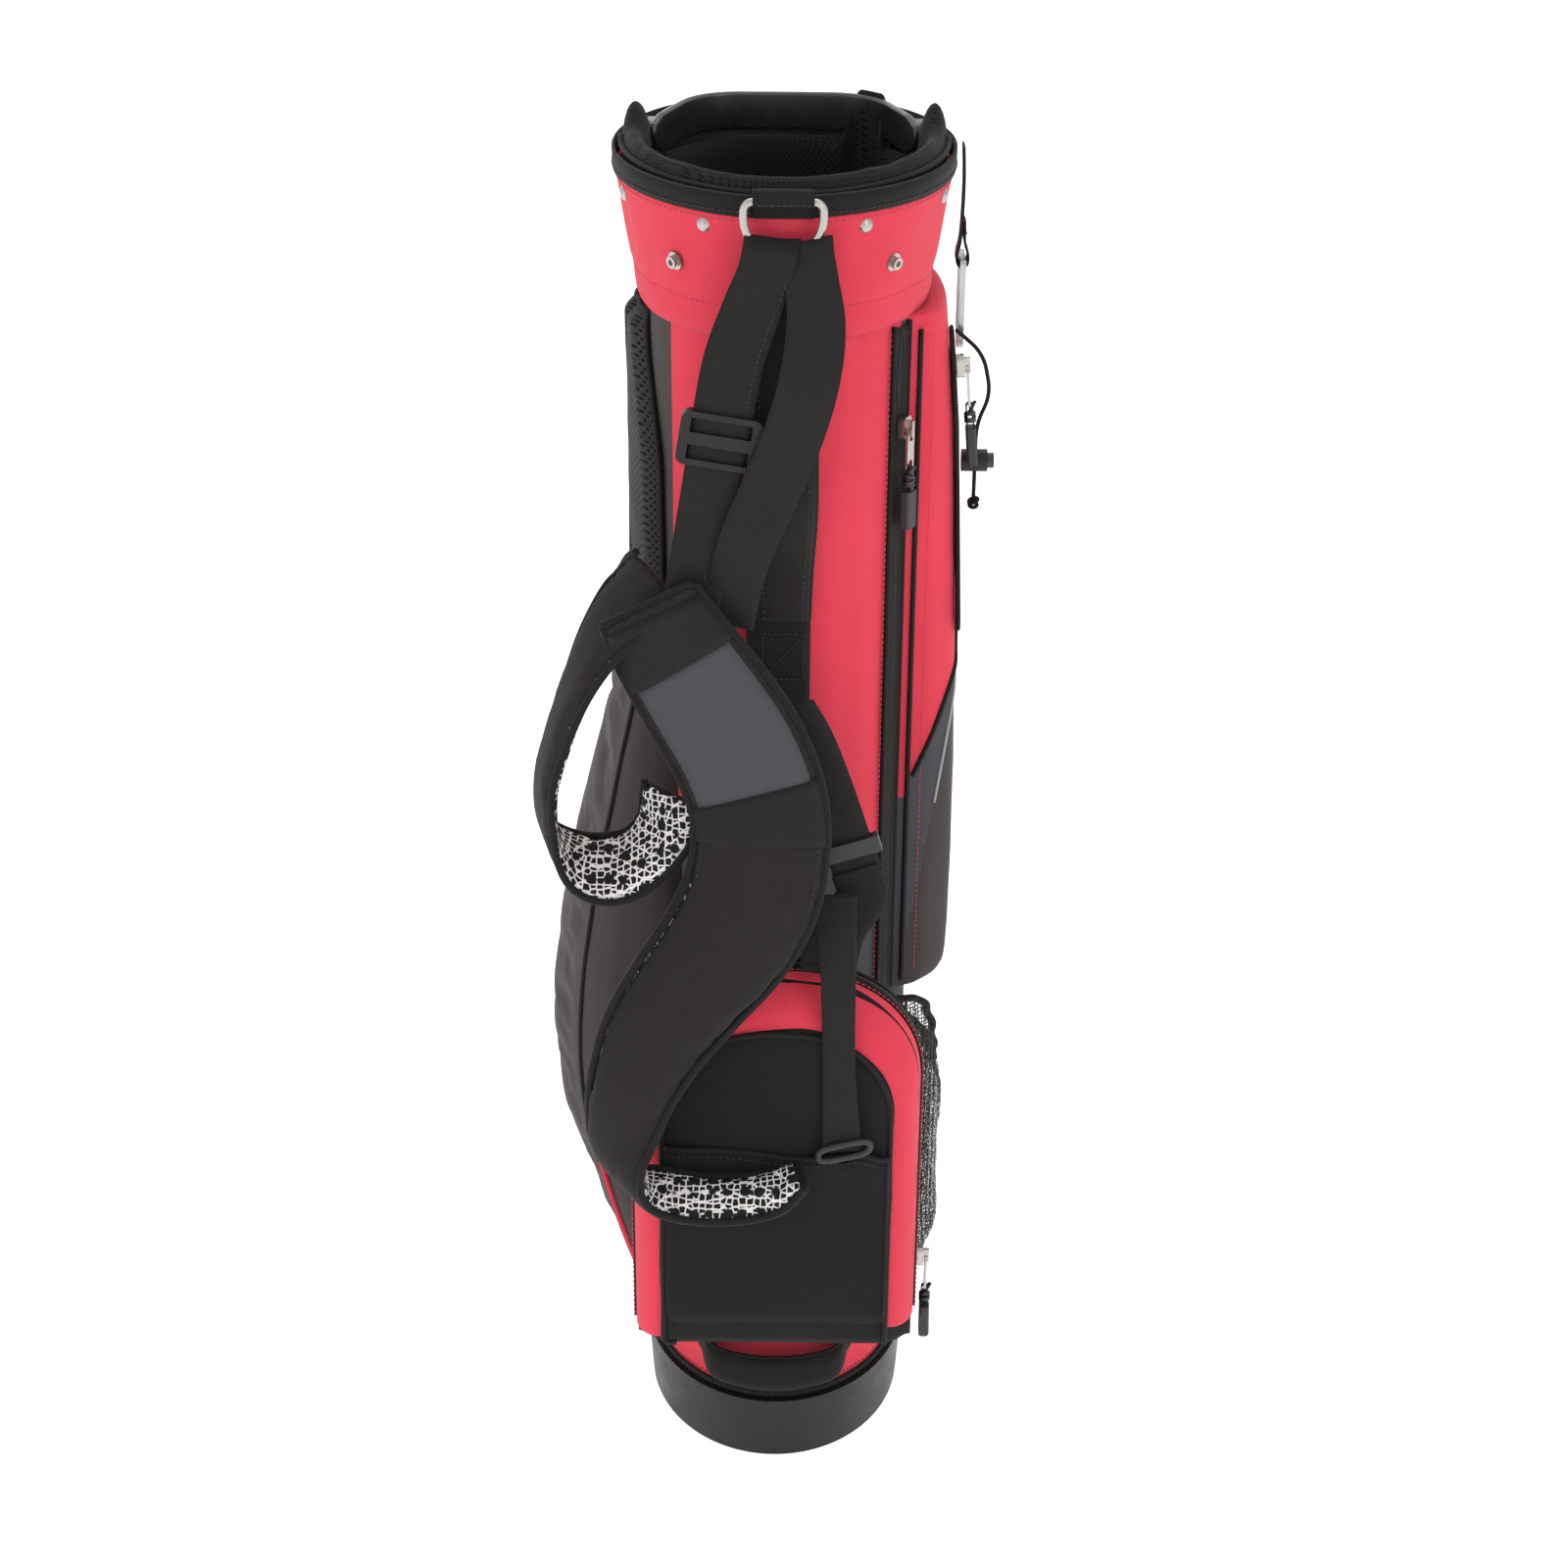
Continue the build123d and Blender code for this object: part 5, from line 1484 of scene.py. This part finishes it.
pulls = {
    "garment": {"tab": (71.387, -64.338, 673.0), "up": (0, 0, 1), "out": (0.8486, -0.5290, 0)},
    "valuables": {"tab": (105.978, -30.0, 698.607), "up": (-0.0862, 0, 0.9963), "out": (0.9963, 0, 0.0862)},
    "ball": {"tab": (92.9, -135.0, 162.0), "up": (0, 0, 1), "out": (1, 0, 0)},
}


def buildPullCords():
    # knotted cord between each metal pull and its grip
    for name, spot in pulls.items():
        tab, up, out = Vector(spot["tab"]), Vector(spot["up"]), Vector(spot["out"])
        side = up.cross(out).normalized()
        body = name + "_grip"
        for i, (drop, wide, tilt) in enumerate(((4.6, 2.5, 0.5), (6.8, 2.8, -0.5), (9.0, 2.3, 0.3))):
            ring = []
            for k in range(18):
                w = 2 * math.pi * k / 18
                ring.append(tab - up * (drop + tilt * math.cos(w) * 1.6) + side * (math.cos(w) * wide)
                            + out * (math.sin(w) * 2.4))
            pipe(name + "Knot" + str(i), ring, 1.25, zipPlastic, "black_webbing", body=body, closed=True)
        cordLoop = [tab - up * 4 + side * 1.4 - out * 0.2, tab + up * 1.2 + side * 1.2 + out * 2.6,
                    tab + up * 1.8 + out * 3.4, tab + up * 1.2 - side * 1.2 + out * 2.6,
                    tab - up * 4 - side * 1.4]
        rows = splineThrough([tuple(p) for p in cordLoop], 6)
        pipe(name + "CordLoop", [Vector(p) for p in rows], 0.9, zipPlastic, "black_webbing", body=body)


buildPullCords()


def buildSecondTab():
    # the front pocket's slider carries a second moulded grip beside the first
    tab, up, out = Vector(pulls["ball"]["tab"]), Vector((0, 0.26, 0.966)), Vector((1, 0, 0))
    side = up.cross(out).normalized()
    verts = []
    for h, w, d in ((-12, 3.0, 2.0), (-13.5, 4.6, 2.9), (-33, 5.0, 3.0), (-34.5, 4.2, 2.2)):
        for sw, sd in ((-1, -1), (1, -1), (1, 1), (-1, 1)):
            verts.append(tuple(tab + up * h + side * (sw * w + 8.5) + out * (sd * d + 0.4)))
    grip = newPiece("ballSecondTab", verts, capped(4, 4), greyPlastic, "ball_grip", "grey_plastic")
    bevelled(grip, 0.9)
    path = [tab + up * (-13) + side * 8.5, tab + up * (-7) + side * 5.5, tab + up * (-2) + side * 1.5]
    pipe("ballSecondCord", path, 1.1, zipPlastic, "black_webbing", body="ball_grip")


buildSecondTab()


# clip webbing and drawcord
def buildClipWebbing():
    rows = [(99.6, 6, 838, 0, 1, 0, 16), (100.4, 6, 820, 0, 1, 0, 16), (100.2, 6, 800, 0, 1, 0, 15.5),
            (99.4, 6, 785, 0, 1, 0, 15), (97.8, 6, 777, 0, 1, 0, 14.5), (98.2, 6, 771.6, 0, 1, 0, 14.5),
            (101, 6, 770.0, 0, 1, 0, 14.5), (103.8, 6, 771.8, 0, 1, 0, 14.5), (104.0, 6, 777, 0, 1, 0, 14.5),
            (102.0, 6, 784, 0, 1, 0, 15), (101.6, 6, 796, 0, 1, 0, 15)]
    a = strapBody("clipTape", strapFrames(rows, 6), dict(tapeLook, thick=1.5), strapTape, "black_webbing")
    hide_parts("clip_webbing")
    spots = [((102.8, y, 789), (1, 0, 0)) for y in range(13)]
    stitchRow("clipStitch", spots, blackThread, "black_webbing", pitch=2.8)


buildClipWebbing()

cordLine = {"radius": 1.2, "y": -14.0, "stops": ((97.8, 738), (114, 724), (119, 700), (111.5, 682),
                                                 (111.5, 634))}


def filletRoute(stops, share=0.45, steps=10):
    # straight runs joined by tangent arcs whose reach is a share of the shorter run
    points = [Vector((x, cordLine["y"], z)) for x, z in stops]
    out = [points[0]]
    for a, b, c in zip(points, points[1:], points[2:]):
        reach = share * min((b - a).length, (c - b).length)
        start, end = b + (a - b).normalized() * reach, b + (c - b).normalized() * reach
        bend = (b - a).angle(c - b)
        radius = reach / math.tan(bend / 2)
        centre = b + ((a - b).normalized() + (c - b).normalized()).normalized() * math.hypot(radius, reach)
        for s in range(steps + 1):
            t = s / steps
            w0, w1 = (start - centre), (end - centre)
            out.append(centre + (w0 * (1 - t) + w1 * t).normalized() * radius)
    out.append(points[-1])
    return out


def buildCord():
    route = filletRoute(cordLine["stops"])
    length = sum((b - a).length for a, b in zip(route, route[1:]))
    curve = bpy.data.curves.new("drawCord", "CURVE")
    curve.dimensions = "3D"
    spline = curve.splines.new("NURBS")
    spline.points.add(len(route) - 1)
    for point, spot in zip(spline.points, route):
        point.co = (*(spot * mm), 1.0)
    spline.order_u = 3
    spline.use_endpoint_u = True
    curve.bevel_depth = cordLine["radius"] * mm
    curve.bevel_resolution = 4
    curve.use_fill_caps = True
    cord = bpy.data.objects.new("drawCord", curve)
    bpy.context.scene.collection.objects.link(cord)
    curve.materials.append(edgeTape)
    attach(cord, "bag")
    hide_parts("elastic_cord")
    end = route[-1]
    for i, (drop, wide) in enumerate(((-1.4, 2.2), (1.2, 2.5))):
        ring = []
        for k in range(18):
            w = 2 * math.pi * k / 18
            ring.append(end + Vector((math.cos(w) * wide, math.sin(w) * wide, drop + math.sin(w + i) * 0.9)))
        pipe("cordKnot" + str(i), ring, 1.3, edgeTape, "elastic", closed=True)
    print("cord length", round(length, 2))


buildCord()
print("zips, clip and drawcord ready")


# carried-over CAD nodes
nodeFinish = {
    satinPlastic: ("base_cup", "foot_plate", "collar_ring", "leg_bracket", "left_leg_knuckle",
                   "right_leg_knuckle",
                   "left_rod_clip", "right_rod_clip", "ladder_buckle", "cord_lock_barrel", "support_stays"),
    zipPlastic: ("cord_lock_button",),
    greyPlastic: ("garment_tab", "valuables_tab", "ball_tab", "tail_slider"),
    nickel: ("strap_ring", "dome_rivets", "hood_studs", "garment_slider", "valuables_slider", "ball_slider",
             "garment_pull", "valuables_pull", "ball_pull"),
    legAlloy: ("left_leg_tube", "right_leg_tube"),
    springSteel: ("towel_clip", "left_push_rod", "right_push_rod", "leg_pivot_pins"),
    footRubber: ("left_leg_foot", "right_leg_foot"),
    blackCloth: ("divider_frame",),
}
for finish, names in nodeFinish.items():
    for name in names:
        piece = nodes[name]
        piece.data.materials.clear()
        piece.data.materials.append(finish)

# floor, light and camera
room = {"floor": 30.0, "sky": 1.0, "key": 11.0, "fill": 6.0, "top": 8.0}
floorMesh = bpy.data.meshes.new("floor")
half = room["floor"]
floorMesh.from_pydata([(-half, -half, 0), (half, -half, 0), (half, half, 0), (-half, half, 0)], [],
                      [(0, 1, 2, 3)])
floorPiece = bpy.data.objects.new("floor", floorMesh)
bpy.context.scene.collection.objects.link(floorPiece)
floorFinish = Nodes("paleFloor")
floorFinish.set(Base_Color=(0.93, 0.93, 0.93, 1.0), Roughness=0.9, Specular_IOR_Level=0.1)
floorFinish.set(Emission_Color=(1.0, 1.0, 1.0, 1.0), Emission_Strength=0.6)
floorMesh.materials.append(floorFinish.mat)

sky = bpy.data.worlds.new("paleSky")
sky.use_nodes = True
sky.node_tree.nodes["Background"].inputs["Color"].default_value = (1.0, 1.0, 1.0, 1.0)
sky.node_tree.nodes["Background"].inputs["Strength"].default_value = room["sky"]
bpy.context.scene.world = sky
bpy.context.scene.view_settings.view_transform = "Standard"


def softBox(name, spot, target, size, power):
    data = bpy.data.lights.new(name, "AREA")
    data.shape = "RECTANGLE"
    data.size, data.size_y = size
    data.energy = power
    obj = bpy.data.objects.new(name, data)
    obj.location = spot
    obj.rotation_euler = (Vector(target) - Vector(spot)).to_track_quat("-Z", "Y").to_euler()
    bpy.context.scene.collection.objects.link(obj)


softBox("keyBox", (1.5, -1.9, 1.9), (0, 0, 0.5), (1.2, 1.6), room["key"])
softBox("fillBox", (-1.9, -1.5, 1.3), (0, 0, 0.45), (1.2, 1.8), room["fill"])
softBox("topBox", (0.1, 0.6, 2.4), (0, 0, 0.6), (1.6, 1.2), room["top"])
softBox("backBox", (-0.6, 2.2, 1.2), (0, 0, 0.45), (1.4, 1.6), room["fill"])

lens = {"spot": (0.0029, -1.5399, 1.2241), "down": 26.93, "roll": 0.52, "focal": 64.2}
camData = bpy.data.cameras.new("camera")
camData.lens = lens["focal"]
camData.sensor_width = 36.0
camera = bpy.data.objects.new("camera", camData)
turn = Matrix.Rotation(math.radians(90 - lens["down"]), 4, "X") @ Matrix.Rotation(math.radians(lens["roll"]),
                                                                                  4, "Z")
camera.matrix_world = Matrix.Translation(lens["spot"]) @ turn
bpy.context.scene.collection.objects.link(camera)
bpy.context.scene.camera = camera

print("scene ready")
